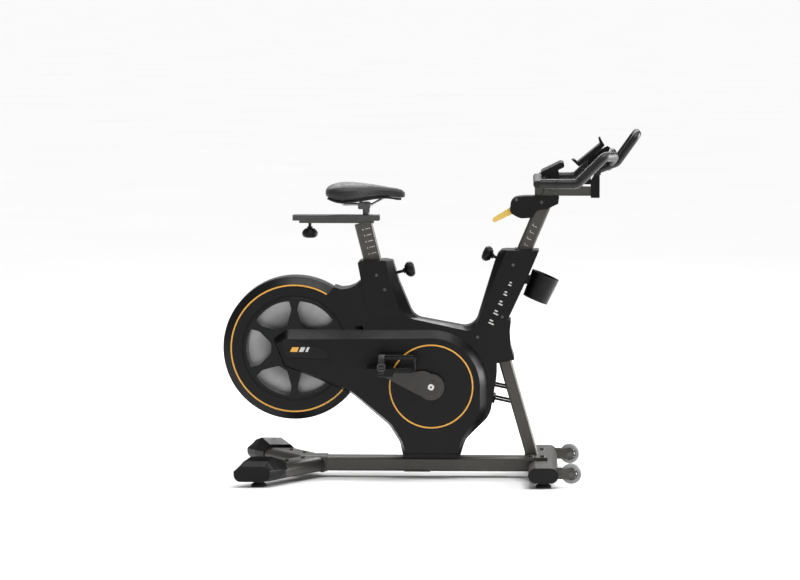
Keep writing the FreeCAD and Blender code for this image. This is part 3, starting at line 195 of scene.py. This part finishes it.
def powder_coat(name, colour, rough=0.4, metallic=0.55):
    """Metallic powder coat on steel tube: orange peel, fine flakes and brighter rubbed edges."""
    tree = Tree(name)
    tree.set(Metallic=metallic, Coat_Weight=0.25, Coat_Roughness=0.32)
    flakes = tree.ramp(tree.cells(1500.0, output="Color"),
                       [(0.2, scaled(colour, 0.82)), (0.9, scaled(colour, 1.22))])
    worn = tree.mix(tree.math("MULTIPLY", tree.edges(), 0.4), flakes, scaled(colour, 2.0))
    gloss = tree.ramp(tree.noise(60.0, 4.0), [(0.3, rough - 0.05), (0.7, rough + 0.06)])
    peel = tree.bump(tree.noise(420.0, 2.0), 0.25, 0.00012)
    return tree.finish(worn, gloss, peel)


def bare_steel(name, colour, rough=0.28, lines=220.0):
    """Machined or plated steel with faint tool lines and smudges."""
    tree = Tree(name)
    tree.set(Metallic=1.0)
    tone = tree.ramp(tree.noise(14.0, 5.0), [(0.3, scaled(colour, 0.85)), (0.7, scaled(colour, 1.1))])
    gloss = tree.ramp(tree.noise(26.0, 6.0), [(0.3, rough - 0.07), (0.7, rough + 0.12)])
    wave = tree.nodes.new("ShaderNodeTexWave")
    wave.inputs["Scale"].default_value = lines
    wave.inputs["Distortion"].default_value = 1.5
    tree.join(tree.place, wave.inputs["Vector"])
    return tree.finish(tone, gloss, tree.bump(wave.outputs["Fac"], 0.12, 0.00006))


def from_axis(tree, centre):
    """Distance from an axis across the bike through centre, in metres."""
    shift = tree.nodes.new("ShaderNodeVectorMath")
    shift.operation = "SUBTRACT"
    tree.join(tree.place, shift.inputs[0])
    shift.inputs[1].default_value = centre
    flat = tree.nodes.new("ShaderNodeVectorMath")
    flat.operation = "MULTIPLY"
    tree.join(shift.outputs[0], flat.inputs[0])
    flat.inputs[1].default_value = (1, 0, 1)
    length = tree.nodes.new("ShaderNodeVectorMath")
    length.operation = "LENGTH"
    tree.join(flat.outputs[0], length.inputs[0])
    return length.outputs["Value"]


def turned_disc(name, centre):
    """The flywheel's face: turned rings, and a painted shade that is light at the rim and darker
    towards the hub.
    """
    tree = Tree(name)
    tree.set(Metallic=0.75)
    # Painted shade: the colour runs from dark near the hub to light at the rim, standing in for how
    # light falls across the dish.
    reach = from_axis(tree, centre)
    across = tree.math("DIVIDE", reach, 0.2)
    tone = tree.ramp(across, [(0.15, (0.06, 0.06, 0.06)), (0.42, (0.20, 0.20, 0.20)),
                              (0.62, (0.42, 0.42, 0.42)), (0.85, (0.55, 0.55, 0.55))])
    clouds = tree.ramp(tree.noise(20.0, 5.0), [(0.3, 0.86), (0.7, 1.0)])
    blended = tree.nodes.new("ShaderNodeMix")
    blended.data_type = "RGBA"
    blended.blend_type = "MULTIPLY"
    blended.inputs[0].default_value = 1.0
    tree.join(tone, blended.inputs[6])
    tree.join(clouds, blended.inputs[7])
    rings = tree.math("SINE", tree.math("MULTIPLY", reach, 4200.0))
    gloss = tree.ramp(tree.noise(30.0, 4.0), [(0.3, 0.34), (0.7, 0.46)])
    return tree.finish(blended.outputs[2], gloss, tree.bump(rings, 0.15, 0.00005))


def leather(name, colour):
    """Synthetic saddle leather: pebbled cells, creases and a soft sheen."""
    tree = Tree(name)
    tree.set(Sheen_Weight=0.12, Sheen_Roughness=0.5, Specular_IOR_Level=0.45)
    pebbles = tree.cells(520.0, "DISTANCE_TO_EDGE")
    creases = tree.noise(45.0, 6.0, 0.6)
    tone = tree.ramp(creases, [(0.3, scaled(colour, 0.8)), (0.75, scaled(colour, 1.35))])
    gloss = tree.ramp(tree.noise(70.0, 4.0), [(0.3, 0.42), (0.7, 0.56)])
    fine = tree.bump(tree.ramp(pebbles, [(0.0, 0.0), (0.12, 1.0)]), 0.45, 0.00018)
    return tree.finish(tone, gloss, tree.bump(creases, 0.2, 0.0006, fine))


def soft_rubber(name, colour, rough=0.6):
    """Matt rubber with a fine grain and uneven wear."""
    tree = Tree(name)
    tree.set(Specular_IOR_Level=0.4)
    tone = tree.ramp(tree.noise(24.0, 5.0), [(0.3, scaled(colour, 0.8)), (0.7, scaled(colour, 1.3))])
    gloss = tree.ramp(tree.noise(90.0, 3.0), [(0.3, rough - 0.06), (0.7, rough + 0.08)])
    return tree.finish(tone, gloss, tree.bump(tree.noise(1400.0, 2.0), 0.4, 0.00009))


def woven(name, colour):
    """Nylon webbing: fine ribs across the strap and a faint sheen."""
    tree = Tree(name)
    tree.set(Sheen_Weight=0.2, Specular_IOR_Level=0.3)
    ribs = tree.nodes.new("ShaderNodeTexWave")
    ribs.inputs["Scale"].default_value = 160.0
    ribs.inputs["Distortion"].default_value = 0.6
    tree.join(tree.place, ribs.inputs["Vector"])
    tone = tree.ramp(ribs.outputs["Fac"], [(0.2, scaled(colour, 0.7)), (0.8, scaled(colour, 1.5))])
    gloss = tree.ramp(tree.noise(80.0, 3.0), [(0.3, 0.6), (0.7, 0.75)])
    return tree.finish(tone, gloss, tree.bump(ribs.outputs["Fac"], 0.5, 0.0002))


def gloss_paint(name, colour, rough=0.25):
    """Clear-coated paint or print with a slight unevenness."""
    tree = Tree(name)
    tree.set(Coat_Weight=0.4, Coat_Roughness=0.12)
    tone = tree.ramp(tree.noise(30.0, 3.0), [(0.3, scaled(colour, 0.94)), (0.7, scaled(colour, 1.05))])
    gloss = tree.ramp(tree.noise(55.0, 4.0), [(0.3, rough - 0.04), (0.7, rough + 0.06)])
    return tree.finish(tone, gloss, tree.bump(tree.noise(300.0, 2.0), 0.1, 0.00005))


def middle_axis(name):
    """The point on the bike's centre plane at the middle of a round node."""
    low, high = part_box(name)
    return [(low[0] + high[0]) / 2, 0.0, (low[2] + high[2]) / 2]


cover_black = moulded_plastic("cover_black", (0.0028, 0.0028, 0.0029), 0.33)
guard_black = moulded_plastic("guard_black", (0.0044, 0.0047, 0.0047), 0.31)
trim_black = moulded_plastic("trim_black", (0.0028, 0.0028, 0.0029), 0.38, 1200.0)
frame_paint = powder_coat("frame_paint", (0.044, 0.041, 0.036))
post_paint = powder_coat("post_paint", (0.052, 0.048, 0.042), 0.34)
crank_paint = powder_coat("crank_paint", (0.030, 0.0285, 0.027), 0.42)
dark_metal = bare_steel("dark_metal", (0.10, 0.10, 0.10), 0.36)
zinc = bare_steel("zinc", (0.62, 0.61, 0.59), 0.27)
disc_steel_painted_shade = turned_disc("disc_steel_painted_shade", middle_axis("flywheel"))
saddle_leather = leather("saddle_leather", (0.0085, 0.0085, 0.0087))
grip_rubber = soft_rubber("grip_rubber", (0.009, 0.009, 0.0092), 0.38)
wheel_rubber = soft_rubber("wheel_rubber", (0.23, 0.23, 0.23), 0.5)
foot_rubber = soft_rubber("foot_rubber", (0.012, 0.012, 0.012), 0.7)
belt_rubber = soft_rubber("belt_rubber", (0.010, 0.010, 0.010), 0.65)
orange = gloss_paint("orange", (0.82, 0.40, 0.04))
yellow = gloss_paint("yellow", (0.80, 0.53, 0.10), 0.38)
pale_print = gloss_paint("pale_print", (0.62, 0.62, 0.60), 0.4)
screen_glass = moulded_plastic("screen_glass", (0.0048, 0.005, 0.0052), 0.22, 200.0, 0.00002)
white_cap = gloss_paint("white_cap", (0.75, 0.75, 0.73), 0.35)
webbing = woven("webbing", (0.016, 0.016, 0.016))
thread = soft_rubber("thread", (0.05, 0.05, 0.05), 0.6)

FINISHES = {
    frame_paint: "main_beam rear_frame front_stabilizer front_upright head_tube seat_tube top_tube "
                 "bottom_bracket rear_dropouts wheel_brackets",
    post_paint: "seat_post handlebar_post",
    crank_paint: "crank_arms",
    cover_black: "body_cover_right body_cover_left post_collars rear_fender drive_cover_right "
                 "drive_cover_left lower_shroud lever_housing",
    guard_black: "flywheel_guards",
    trim_black: "end_caps cup_holder console handlebar_clamp holder_bracket phone_holder holder_claw "
                "saddle_shell post_bushes seat_knob head_knob rail_knob toe_cage_right toe_cage_left "
                "pedal_right pedal_left",
    grip_rubber: "handlebar",
    dark_metal: "frame_bolts seat_slider saddle_clamp crank_pulley brake_magnets",
    zinc: "bb_bearings flywheel_axle spindles saddle_rails flywheel_pulley",
    disc_steel_painted_shade: "flywheel",
    belt_rubber: "drive_belt",
    orange: "trim_rings",
    yellow: "resistance_lever",
    saddle_leather: "saddle_cushion",
    wheel_rubber: "wheel_right wheel_left",
    foot_rubber: "foot_front_right foot_front_left foot_rear_right foot_rear_left",
}


def dress_nodes():
    """Give each CAD node its finish, smooth shading and softened edges."""
    for material, names in FINISHES.items():
        for name in names.split():
            thing = nodes[name]
            thing.data.materials.clear()
            thing.data.materials.append(material)
            soften(thing)


def soften(thing, width=0.0012):
    """Round a hard-edged mesh's edges without changing its size."""
    for polygon in thing.data.polygons:
        polygon.use_smooth = True
    bevel = thing.modifiers.new("edge", "BEVEL")
    bevel.width = width
    bevel.segments = 2
    bevel.limit_method = "ANGLE"
    bevel.angle_limit = math.radians(35)
    bevel.use_clamp_overlap = True
    bevel.harden_normals = True
    weighted = thing.modifiers.new("normals", "WEIGHTED_NORMAL")
    weighted.keep_sharp = True


# ---------------------------------------------------------------- detail pieces

def piece(name, points, faces, material, body, smooth=True):
    """A mesh piece in metres that rides on a CAD body."""
    mesh = bpy.data.meshes.new(name)
    mesh.from_pydata([tuple(point) for point in points], [], faces)
    mesh.validate()
    thing = bpy.data.objects.new(name, mesh)
    bpy.context.collection.objects.link(thing)
    mesh.materials.append(material)
    tidy = bmesh.new()
    tidy.from_mesh(mesh)
    bmesh.ops.recalc_face_normals(tidy, faces=tidy.faces)
    tidy.to_mesh(mesh)
    tidy.free()
    for polygon in mesh.polygons:
        polygon.use_smooth = smooth
    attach(thing, body)
    return thing


def bevelled(thing, width):
    """Round a small piece's sharp edges."""
    bevel = thing.modifiers.new("edge", "BEVEL")
    bevel.width = width
    bevel.segments = 2
    bevel.limit_method = "ANGLE"
    bevel.angle_limit = math.radians(30)
    bevel.harden_normals = True
    return thing


def slabs(outlines, place, low, high):
    """Points and faces of flat slabs: (u, v) outlines in mm raised from low to high along Z."""
    points, faces = [], []
    for outline in outlines:
        first = len(points)
        count = len(outline)
        for level in (low, high):
            points += [place @ (Vector((u, v, level)) * MM) for u, v in outline]
        faces.append([first + i for i in range(count)])
        faces.append([first + count + i for i in reversed(range(count))])
        for i in range(count):
            after = (i + 1) % count
            faces.append([first + i, first + after, first + count + after, first + count + i])
    return points, faces


def turned(profile, place, count=28):
    """Points and faces of a closed (radius, height) outline in mm turned about place's Z."""
    points, faces = [], []
    for i in range(count):
        angle = 2 * math.pi * i / count
        for radius, height in profile:
            spot = Vector((radius * math.cos(angle), radius * math.sin(angle), height)) * MM
            points.append(place @ spot)
    rows = len(profile)
    for i in range(count):
        for j in range(rows):
            here, onward = i * rows, ((i + 1) % count) * rows
            after = (j + 1) % rows
            faces.append([here + j, onward + j, onward + after, here + after])
    return points, faces


def tube(path, radius, sides=8, closed=True):
    """Points and faces of a round bead along a path of points in metres."""
    points, faces = [], []
    count = len(path)
    for i, spot in enumerate(path):
        before = path[i - 1] if closed or i > 0 else spot
        after = path[(i + 1) % count] if closed or i < count - 1 else spot
        ahead = (after - before).normalized()
        across = ahead.cross(Vector((0, 0, 1))).normalized()
        upward = across.cross(ahead)
        for j in range(sides):
            angle = 2 * math.pi * j / sides
            points.append(spot + (across * math.cos(angle) + upward * math.sin(angle)) * radius)
    for i in range(count if closed else count - 1):
        for j in range(sides):
            onward = ((i + 1) % count) * sides
            after = (j + 1) % sides
            faces.append([i * sides + j, i * sides + after, onward + after, onward + j])
    return points, faces


def facing(origin, side):
    """A frame on a side face: its X forwards, its Y up and its Z out from the bike."""
    turn = Matrix(((1, 0, 0), (0, 0, side), (0, 1, 0)))
    return Matrix.Translation(Vector(origin) * MM) @ turn.to_4x4()


def leaning(origin, degrees, side=RIGHT):
    """A side-face frame whose Y leans towards +X by an angle in degrees."""
    return facing(origin, side) @ Matrix.Rotation(math.radians(-degrees), 4, "Z")


def strip(u, v, length, height, slant=0.0):
    """The outline of a bar from its lower corner, its top shifted sideways by a slant."""
    return [(u, v), (u + length, v), (u + length + slant, v + height), (u + slant, v + height)]


def post_marks():
    """Printed height marks on the right faces of both posts."""
    seat = [strip(2, 20 + 20 * i, 17, 1.6) for i in range(5)]
    seat += [strip(-6, 19.2 + 20 * i, 3.2, 3.2) for i in range(5)]
    points, faces = slabs(seat, leaning((-187, -POST_SIDE, 698), SEAT_POST_LEAN), -0.05, 0.12)
    piece("seat_post_marks", points, faces, pale_print, "seat_post_body", False)
    bar = [strip(-8, 266 + 22 * i, 15, 1.6) for i in range(4)]
    bar += [strip(-8, 266 + 22 * i, 1.6, 7) for i in range(4)]
    points, faces = slabs(bar, leaning((200, -POST_SIDE, 500), HANDLEBAR_POST_LEAN), -0.05, 0.12)
    piece("handlebar_post_marks", points, faces, pale_print, "handlebar_body", False)


def rounded(outline, radius, steps=4):
    """An (u, v) outline with its corners rounded."""
    result = []
    count = len(outline)
    for i in range(count):
        corner = Vector(outline[i])
        before = Vector(outline[i - 1]) - corner
        after = Vector(outline[(i + 1) % count]) - corner
        reach = min(radius, before.length * 0.45, after.length * 0.45)
        start = corner + before.normalized() * reach
        end = corner + after.normalized() * reach
        for k in range(steps + 1):
            t = k / steps
            spot = start * (1 - t) ** 2 + corner * 2 * t * (1 - t) + end * t ** 2
            result.append((spot.x, spot.y))
    return result


def badges():
    """A gloss inlay with three plain slanted bars in the recess on each drive cover."""
    outline = rounded([(-469.5, 450.5), (-434, 447.5), (-328.5, 412), (-320.5, 398), (-333, 386.5),
                       (-457, 392.5), (-468.5, 411)], 7)
    for name, side in SIDES:
        face = facing((0, side * DRIVE_COVER_SIDE, 0), side)
        points, faces = slabs([outline], face, 0.0, 0.7)
        inlay = piece(f"badge_{name}", points, faces, screen_glass, "base_frame")
        bevelled(inlay, 0.0003)
        bars = [strip(-446, 409, 22, 15, 7), strip(-418, 409, 14, 15, 7), strip(-398, 409, 8, 15, 7)]
        points, faces = slabs(bars[:1], face, 0.6, 0.95)
        piece(f"badge_bar_{name}", points, faces, orange, "base_frame", False)
        points, faces = slabs(bars[1:], face, 0.6, 0.95)
        piece(f"badge_bars_{name}", points, faces, pale_print, "base_frame", False)


def head_marks():
    """Plain slanted dashes printed up the head of the casing."""
    dashes = []
    for i in range(5):
        dashes += [strip(-9, 6 + 34 * i, 18 - 2 * i, 4.5, 2), strip(-9, 15 + 34 * i, 11 - i, 4.5, 2)]
    for name, side in SIDES:
        face = leaning((188, side * COVER_SIDE, 492), HEAD_COVER_LEAN, side)
        points, faces = slabs(dashes, face, -0.05, 0.15)
        piece(f"head_dashes_{name}", points, faces, pale_print, "base_frame", False)


def crank_caps():
    """A pale square washer, a bolt head and a thin ring round the crank's end, on each arm."""
    low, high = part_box("crank_arms")
    centre = middle_axis("crank_pulley")
    for name, side, out in (("right", RIGHT, low[1]), ("left", LEFT, high[1])):
        face = leaning((centre[0] / MM, out / MM, centre[2] / MM), 45 - CRANK_ANGLE, side)
        frame_strips = [strip(-8, -8, 16, 4.5), strip(-8, 3.5, 16, 4.5), strip(-8, -3.5, 4.5, 7),
                        strip(3.5, -3.5, 4.5, 7)]
        points, faces = slabs(frame_strips, face, 0.0, 1.2)
        piece(f"crank_cap_{name}", points, faces, white_cap, "crank_body", False)
        profile = [(0.2, 0.0), (3.4, 0.0), (3.4, 0.7), (2.6, 0.9), (1.6, 0.4), (0.2, 0.4)]
        points, faces = turned(profile, face, 18)
        piece(f"crank_bolt_{name}", points, faces, dark_metal, "crank_body")
        ring = [(30.0, -0.6), (31.2, -0.6), (31.2, 0.25), (30.0, 0.25)]
        points, faces = turned(ring, face, 48)
        piece(f"crank_ring_{name}", points, faces, dark_metal, "crank_body")


def screws():
    """Countersunk socket screws that hold the casing's mouldings."""
    profile = [(0.3, -0.8), (5.2, -0.8), (5.2, 0.35), (4.6, 0.75), (2.6, 0.75), (2.3, 0.3), (0.3, 0.3)]
    on_casing = [(-10, 100), (-146, 606), (-172, 652), (-215, 508), (262, 686), (228, 520), (150, 455)]
    on_housing = [(272, 892), (352, 884)]
    places = [(x, COVER_SIDE, z, "base_frame") for x, z in on_casing]
    places += [(x, LEVER_HOUSING_SIDE, z, "handlebar_body") for x, z in on_housing]
    for i, (x, y, z, body) in enumerate(places):
        for name, side in SIDES:
            points, faces = turned(profile, facing((x, side * y, z), side), 18)
            piece(f"screw_{i}_{name}", points, faces, dark_metal, body)


def joint_of(body):
    """The joint that moves a body."""
    return [item for item in frame["joints"] if item["child"] == body][0]


def knob_caps():
    """A shallow moulded cap with a ring groove on each knob's end."""
    for name in ("seat_knob", "head_knob", "rail_knob"):
        body = f"{name}_body"
        joint = joint_of(body)
        axis = Vector(joint["axis"]).normalized()
        start = Vector(joint["pos_m"])
        reach = max((spot.co - start).dot(axis) for spot in nodes[name].data.vertices)
        turn = axis.to_track_quat("Z", "Y").to_matrix().to_4x4()
        place = Matrix.Translation(start + axis * reach) @ turn
        profile = [(0.2, -0.3), (7.6, -0.3), (7.6, 0.15), (7.0, 0.5), (6.2, 0.15), (5.4, 0.5),
                   (0.2, 0.9)]
        points, faces = turned(profile, place, 32)
        piece(f"{name}_cap", points, faces, trim_black, body)


def pedal_straps():
    """A webbing strap and buckle round each toe cage."""
    for name, side, pitch in (("right", RIGHT, 0), ("left", LEFT, 12)):
        body = f"pedal_{name}_body"
        joint = joint_of(body)
        centre = Vector(joint["pos_m"])
        centre.y = side * 0.159
        place = Matrix.Translation(centre) @ Matrix.Rotation(math.radians(pitch), 4, "Y")
        half, low, high = 47.5, -13.6, 48.4
        loop = rounded([(-half, low), (half, low), (half, high), (-half, high)], 14, 5)
        points, faces = [], []
        for u, v in loop:
            outward = Vector((u, v - 17)).normalized() * 1.5
            for x, grow in ((-3, 0), (15, 0), (15, 1), (-3, 1)):
                points.append(place @ (Vector((x, u + outward.x * grow, v + outward.y * grow)) * MM))
        for i in range(len(loop)):
            after = (i + 1) % len(loop)
            for j in range(4):
                k = (j + 1) % 4
                faces.append([i * 4 + j, i * 4 + k, after * 4 + k, after * 4 + j])
        bevelled(piece(f"strap_{name}", points, faces, webbing, body), 0.0003)
        buckle = [strip(-13, 5, 4, 24), strip(9, 5, 4, 24), strip(-13, 5, 26, 4), strip(-13, 25, 26, 4),
                  strip(-13, 14, 26, 3)]
        face = place @ facing((6, side * (half + 1.6), 0), side)
        points, faces = slabs(buckle, face, 0.0, 2.2)
        bevelled(piece(f"buckle_{name}", points, faces, dark_metal, body), 0.0004)


def console_face():
    """A raised bezel round a dark screen on the display slab."""
    tilt = Matrix.Rotation(math.radians(CONSOLE_TILT), 4, "Y")
    place = Matrix.Translation(Vector((354, 0, 964)) * MM) @ tilt
    screen = rounded([(12, -60), (68, -60), (68, 60), (12, 60)], 6)
    points, faces = slabs([screen], place, 17.6, 18.5)
    glass = piece("console_screen", points, faces, screen_glass, "handlebar_body")
    bevelled(glass, 0.0003)
    bars = [[(8, -66), (72, -66), (72, -62), (8, -62)], [(8, 62), (72, 62), (72, 66), (8, 66)],
            [(8, -62), (11, -62), (11, 62), (8, 62)], [(69, -62), (72, -62), (72, 62), (69, 62)]]
    points, faces = slabs(bars, place, 17.6, 18.9)
    bezel = piece("console_bezel", points, faces, trim_black, "handlebar_body")
    bevelled(bezel, 0.0004)


def grip_rings():
    """Two moulded rings round each side bar of the handlebar."""
    profile = [(15.05, -3.5), (15.9, -2.6), (15.9, 2.6), (15.05, 3.5), (14.6, 0)]
    for name, side in SIDES:
        turn = Vector((1, -0.03 * side, 0)).to_track_quat("Z", "Y").to_matrix().to_4x4()
        for i, (x, y) in enumerate([(400, 195.8), (452, 199.2)]):
            place = Matrix.Translation(Vector((x, side * y, 952)) * MM) @ turn
            points, faces = turned(profile, place, 28)
            piece(f"grip_ring_{i}_{name}", points, faces, grip_rubber, "handlebar_body")


def casing_seams():
    """A thin gasket bead along the top of each raised drive cover."""
    for name, side in SIDES:
        path = [Vector((-205 + 15 * i, side * 57.3, 479)) * MM for i in range(12)]
        points, faces = tube(path, 0.0008, 6, False)
        piece(f"cover_gasket_{name}", points, faces, foot_rubber, "base_frame")


# ---------------------------------------------------------------- padded saddle

def evaluated_copy(thing):
    """A mesh with the object's modifiers applied."""
    graph = bpy.context.evaluated_depsgraph_get()
    return bpy.data.meshes.new_from_object(thing.evaluated_get(graph))


def remesh(thing, voxel):
    """Rebuild an object's mesh from even quads, ready for cloth."""
    modifier = thing.modifiers.new("voxels", "REMESH")
    modifier.mode = "VOXEL"
    modifier.voxel_size = voxel
    rebuilt = evaluated_copy(thing)
    thing.modifiers.clear()
    thing.data = rebuilt


def surface_heights(tree, x):
    """The lowest and highest points of the pad on its centre line at x."""
    top = tree.ray_cast(Vector((x, 0, 2.0)), Vector((0, 0, -1)))[0]
    bottom = tree.ray_cast(Vector((x, 0, 0.0)), Vector((0, 0, 1)))[0]
    return (bottom.z, top.z) if top is not None and bottom is not None else None


def inflate(pad, cap):
    """Swell the pad with cloth pressure, then hold every point to within a cap of its start."""
    start = [spot.co.copy() for spot in pad.data.vertices]
    low = min(spot.z for spot in start)
    held = pad.vertex_groups.new(name="held")
    held.add([i for i, spot in enumerate(start) if spot.z < low + PAD_HELD_BAND], 1.0, "REPLACE")
    cloth = pad.modifiers.new("cloth", "CLOTH")
    cloth.settings.use_pressure = True
    cloth.settings.uniform_pressure_force = 4.0
    cloth.settings.effector_weights.gravity = 0.0
    cloth.settings.vertex_group_mass = "held"
    cloth.settings.tension_stiffness = 25
    cloth.settings.compression_stiffness = 25
    scene = bpy.context.scene
    for step in range(1, CLOTH_FRAMES + 1):
        scene.frame_set(step)
        bpy.context.view_layer.update()
    swollen = evaluated_copy(pad)
    pad.modifiers.clear()
    scene.frame_set(1)
    for spot, home, moved in zip(pad.data.vertices, start, swollen.vertices):
        shift = moved.co - home
        if shift.length > cap:
            shift *= cap / shift.length
        spot.co = home + shift


def channel(x, low, high):
    """Depth of the soft hollow along the middle of the saddle's top."""
    along = (x - low[0]) / (high[0] - low[0])
    from_tail = max(0.0, min(1.0, (along - 0.1) * 5))
    from_nose = max(0.0, min(1.0, (0.93 - along) * 6))
    return CHANNEL_DEPTH * from_tail * from_nose


def saddle():
    """The saddle's padded top: swollen foam under a stitched cover with a soft centre channel."""
    source = nodes["saddle_cushion"]
    pad = bpy.data.objects.new("saddle_pad", source.data.copy())
    bpy.context.collection.objects.link(pad)
    remesh(pad, PAD_VOXEL)
    normals = [spot.normal.copy() for spot in pad.data.vertices]
    for spot, normal in zip(pad.data.vertices, normals):
        spot.co -= normal * PAD_SHRINK
    inflate(pad, PAD_SWELL_CAP)
    low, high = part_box("saddle_cushion")
    for spot in pad.data.vertices:
        if spot.co.z > low[2] + 0.5 * (high[2] - low[2]):
            spot.co.z -= channel(spot.co.x, low, high) * math.exp(-(spot.co.y / CHANNEL_WIDTH) ** 2)
    smooth = pad.modifiers.new("smooth", "SUBSURF")
    smooth.levels = smooth.render_levels = 1
    final = evaluated_copy(pad)
    pad.modifiers.clear()
    pad.data = final
    for polygon in pad.data.polygons:
        polygon.use_smooth = True
    pad.data.materials.clear()
    pad.data.materials.append(saddle_leather)
    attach(pad, "saddle_body")
    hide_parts("saddle_cushion")
    return pad


def seam_path(pad, share):
    """Points round the pad's side at a share of its height, from tail to nose and back."""
    tree = BVHTree.FromPolygons([spot.co.copy() for spot in pad.data.vertices],
                                [list(polygon.vertices) for polygon in pad.data.polygons])
    low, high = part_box("saddle_cushion")
    right = []
    steps = 56
    for i in range(steps + 1):
        turn = math.pi * i / steps
        x = (low[0] + high[0]) / 2 - math.cos(turn) * (high[0] - low[0]) * 0.46
        heights = surface_heights(tree, x)
        if heights is None:
            continue
        z = heights[0] + (heights[1] - heights[0]) * share
        spot, normal = tree.ray_cast(Vector((x, -0.2, z)), Vector((0, 1, 0)))[:2]
        if spot is not None:
            right.append((spot, normal))
    left = [(Vector((spot.x, -spot.y, spot.z)), Vector((normal.x, -normal.y, normal.z)))
            for spot, normal in reversed(right)]
    return right + left


def saddle_seam(pad):
    """Piping round the saddle's side and a row of thread above it."""
    ring = seam_path(pad, 0.42)
    path = [spot + normal * 0.0002 for spot, normal in ring]
    points, faces = tube(path, 0.0011, 8)
    piece("saddle_piping", points, faces, saddle_leather, "saddle_body")
    points, faces = [], []
    above = seam_path(pad, 0.50)
    for i, (start, normal) in enumerate(above):
        end = above[(i + 1) % len(above)][0]
        gap = (end - start).length
        count = max(1, int(gap / STITCH_LENGTH))
        for k in range(count):
            first = start.lerp(end, (k + 0.15) / count) + normal * 0.0001
            last = start.lerp(end, (k + 0.85) / count) + normal * 0.0001
            more, shapes = tube([first, (first + last) / 2 + normal * 0.0003, last], 0.00035, 5, False)
            faces += [[index + len(points) for index in shape] for shape in shapes]
            points += more
    piece("saddle_thread", points, faces, thread, "saddle_body")


post_marks()
badges()
head_marks()
crank_caps()
screws()
knob_caps()
pedal_straps()
console_face()
grip_rings()
casing_seams()
saddle_seam(saddle())
dress_nodes()


# ---------------------------------------------------------------- floor, light, camera

def floor():
    """A wide pale studio floor just under the feet."""
    mesh = bpy.data.meshes.new("floor")
    reach = 700.0
    mesh.from_pydata([(-reach, -reach, 0), (reach, -reach, 0), (reach, reach, 0), (-reach, reach, 0)],
                     [], [(0, 1, 2, 3)])
    thing = bpy.data.objects.new("floor", mesh)
    bpy.context.collection.objects.link(thing)
    tree = Tree("floor_white")
    tone = tree.ramp(tree.noise(0.7, 2.0), [(0.3, (0.93, 0.93, 0.93)), (0.7, (0.95, 0.95, 0.95))])
    mesh.materials.append(tree.finish(tone))
    tree.set(Roughness=0.7, Specular_IOR_Level=0.1)
    thing.location.z = -0.0005


def area_light(name, place, target, size, power):
    """A rectangular lamp aimed at a target and hidden from the camera."""
    light = bpy.data.lights.new(name, "AREA")
    light.shape = "RECTANGLE"
    light.size, light.size_y = size
    light.energy = power
    thing = bpy.data.objects.new(name, light)
    bpy.context.collection.objects.link(thing)
    thing.location = place
    aim = Vector(target) - Vector(place)
    thing.rotation_euler = aim.to_track_quat("-Z", "Y").to_euler()
    thing.visible_camera = False


def lighting():
    """A dim white surround, a broad overhead light and two soft lamps."""
    world = bpy.data.worlds.new("studio")
    bpy.context.scene.world = world
    world.use_nodes = True
    background = world.node_tree.nodes["Background"]
    background.inputs["Color"].default_value = (1, 1, 1, 1)
    background.inputs["Strength"].default_value = 0.30
    sun = bpy.data.lights.new("ceiling", "SUN")
    sun.energy = 2.55
    sun.angle = math.radians(50)
    thing = bpy.data.objects.new("ceiling", sun)
    bpy.context.collection.objects.link(thing)
    thing.rotation_euler = Euler((math.radians(14), math.radians(12), 0))
    area_light("front_key", (4.5, 1.2, 1.7), (0, 0, 0.6), (2.4, 3.0), 330)
    area_light("back_top", (-0.1, 3.6, 3.5), (0, 0, 0.6), (3.6, 1.2), 130)


def camera():
    """A long lens far off the bike's right side, a little above the handlebar, looking down."""
    lens = bpy.data.cameras.new("camera")
    lens.sensor_width = 36.0
    lens.lens = 161.7
    lens.clip_end = 2000.0
    thing = bpy.data.objects.new("camera", lens)
    bpy.context.collection.objects.link(thing)
    thing.location = (0.300, -11.430, 1.634)
    thing.rotation_euler = Euler((math.radians(90 - 5.167), 0, math.radians(2.0)))
    bpy.context.scene.camera = thing


floor()
lighting()
camera()
bpy.context.scene.view_settings.view_transform = "Standard"
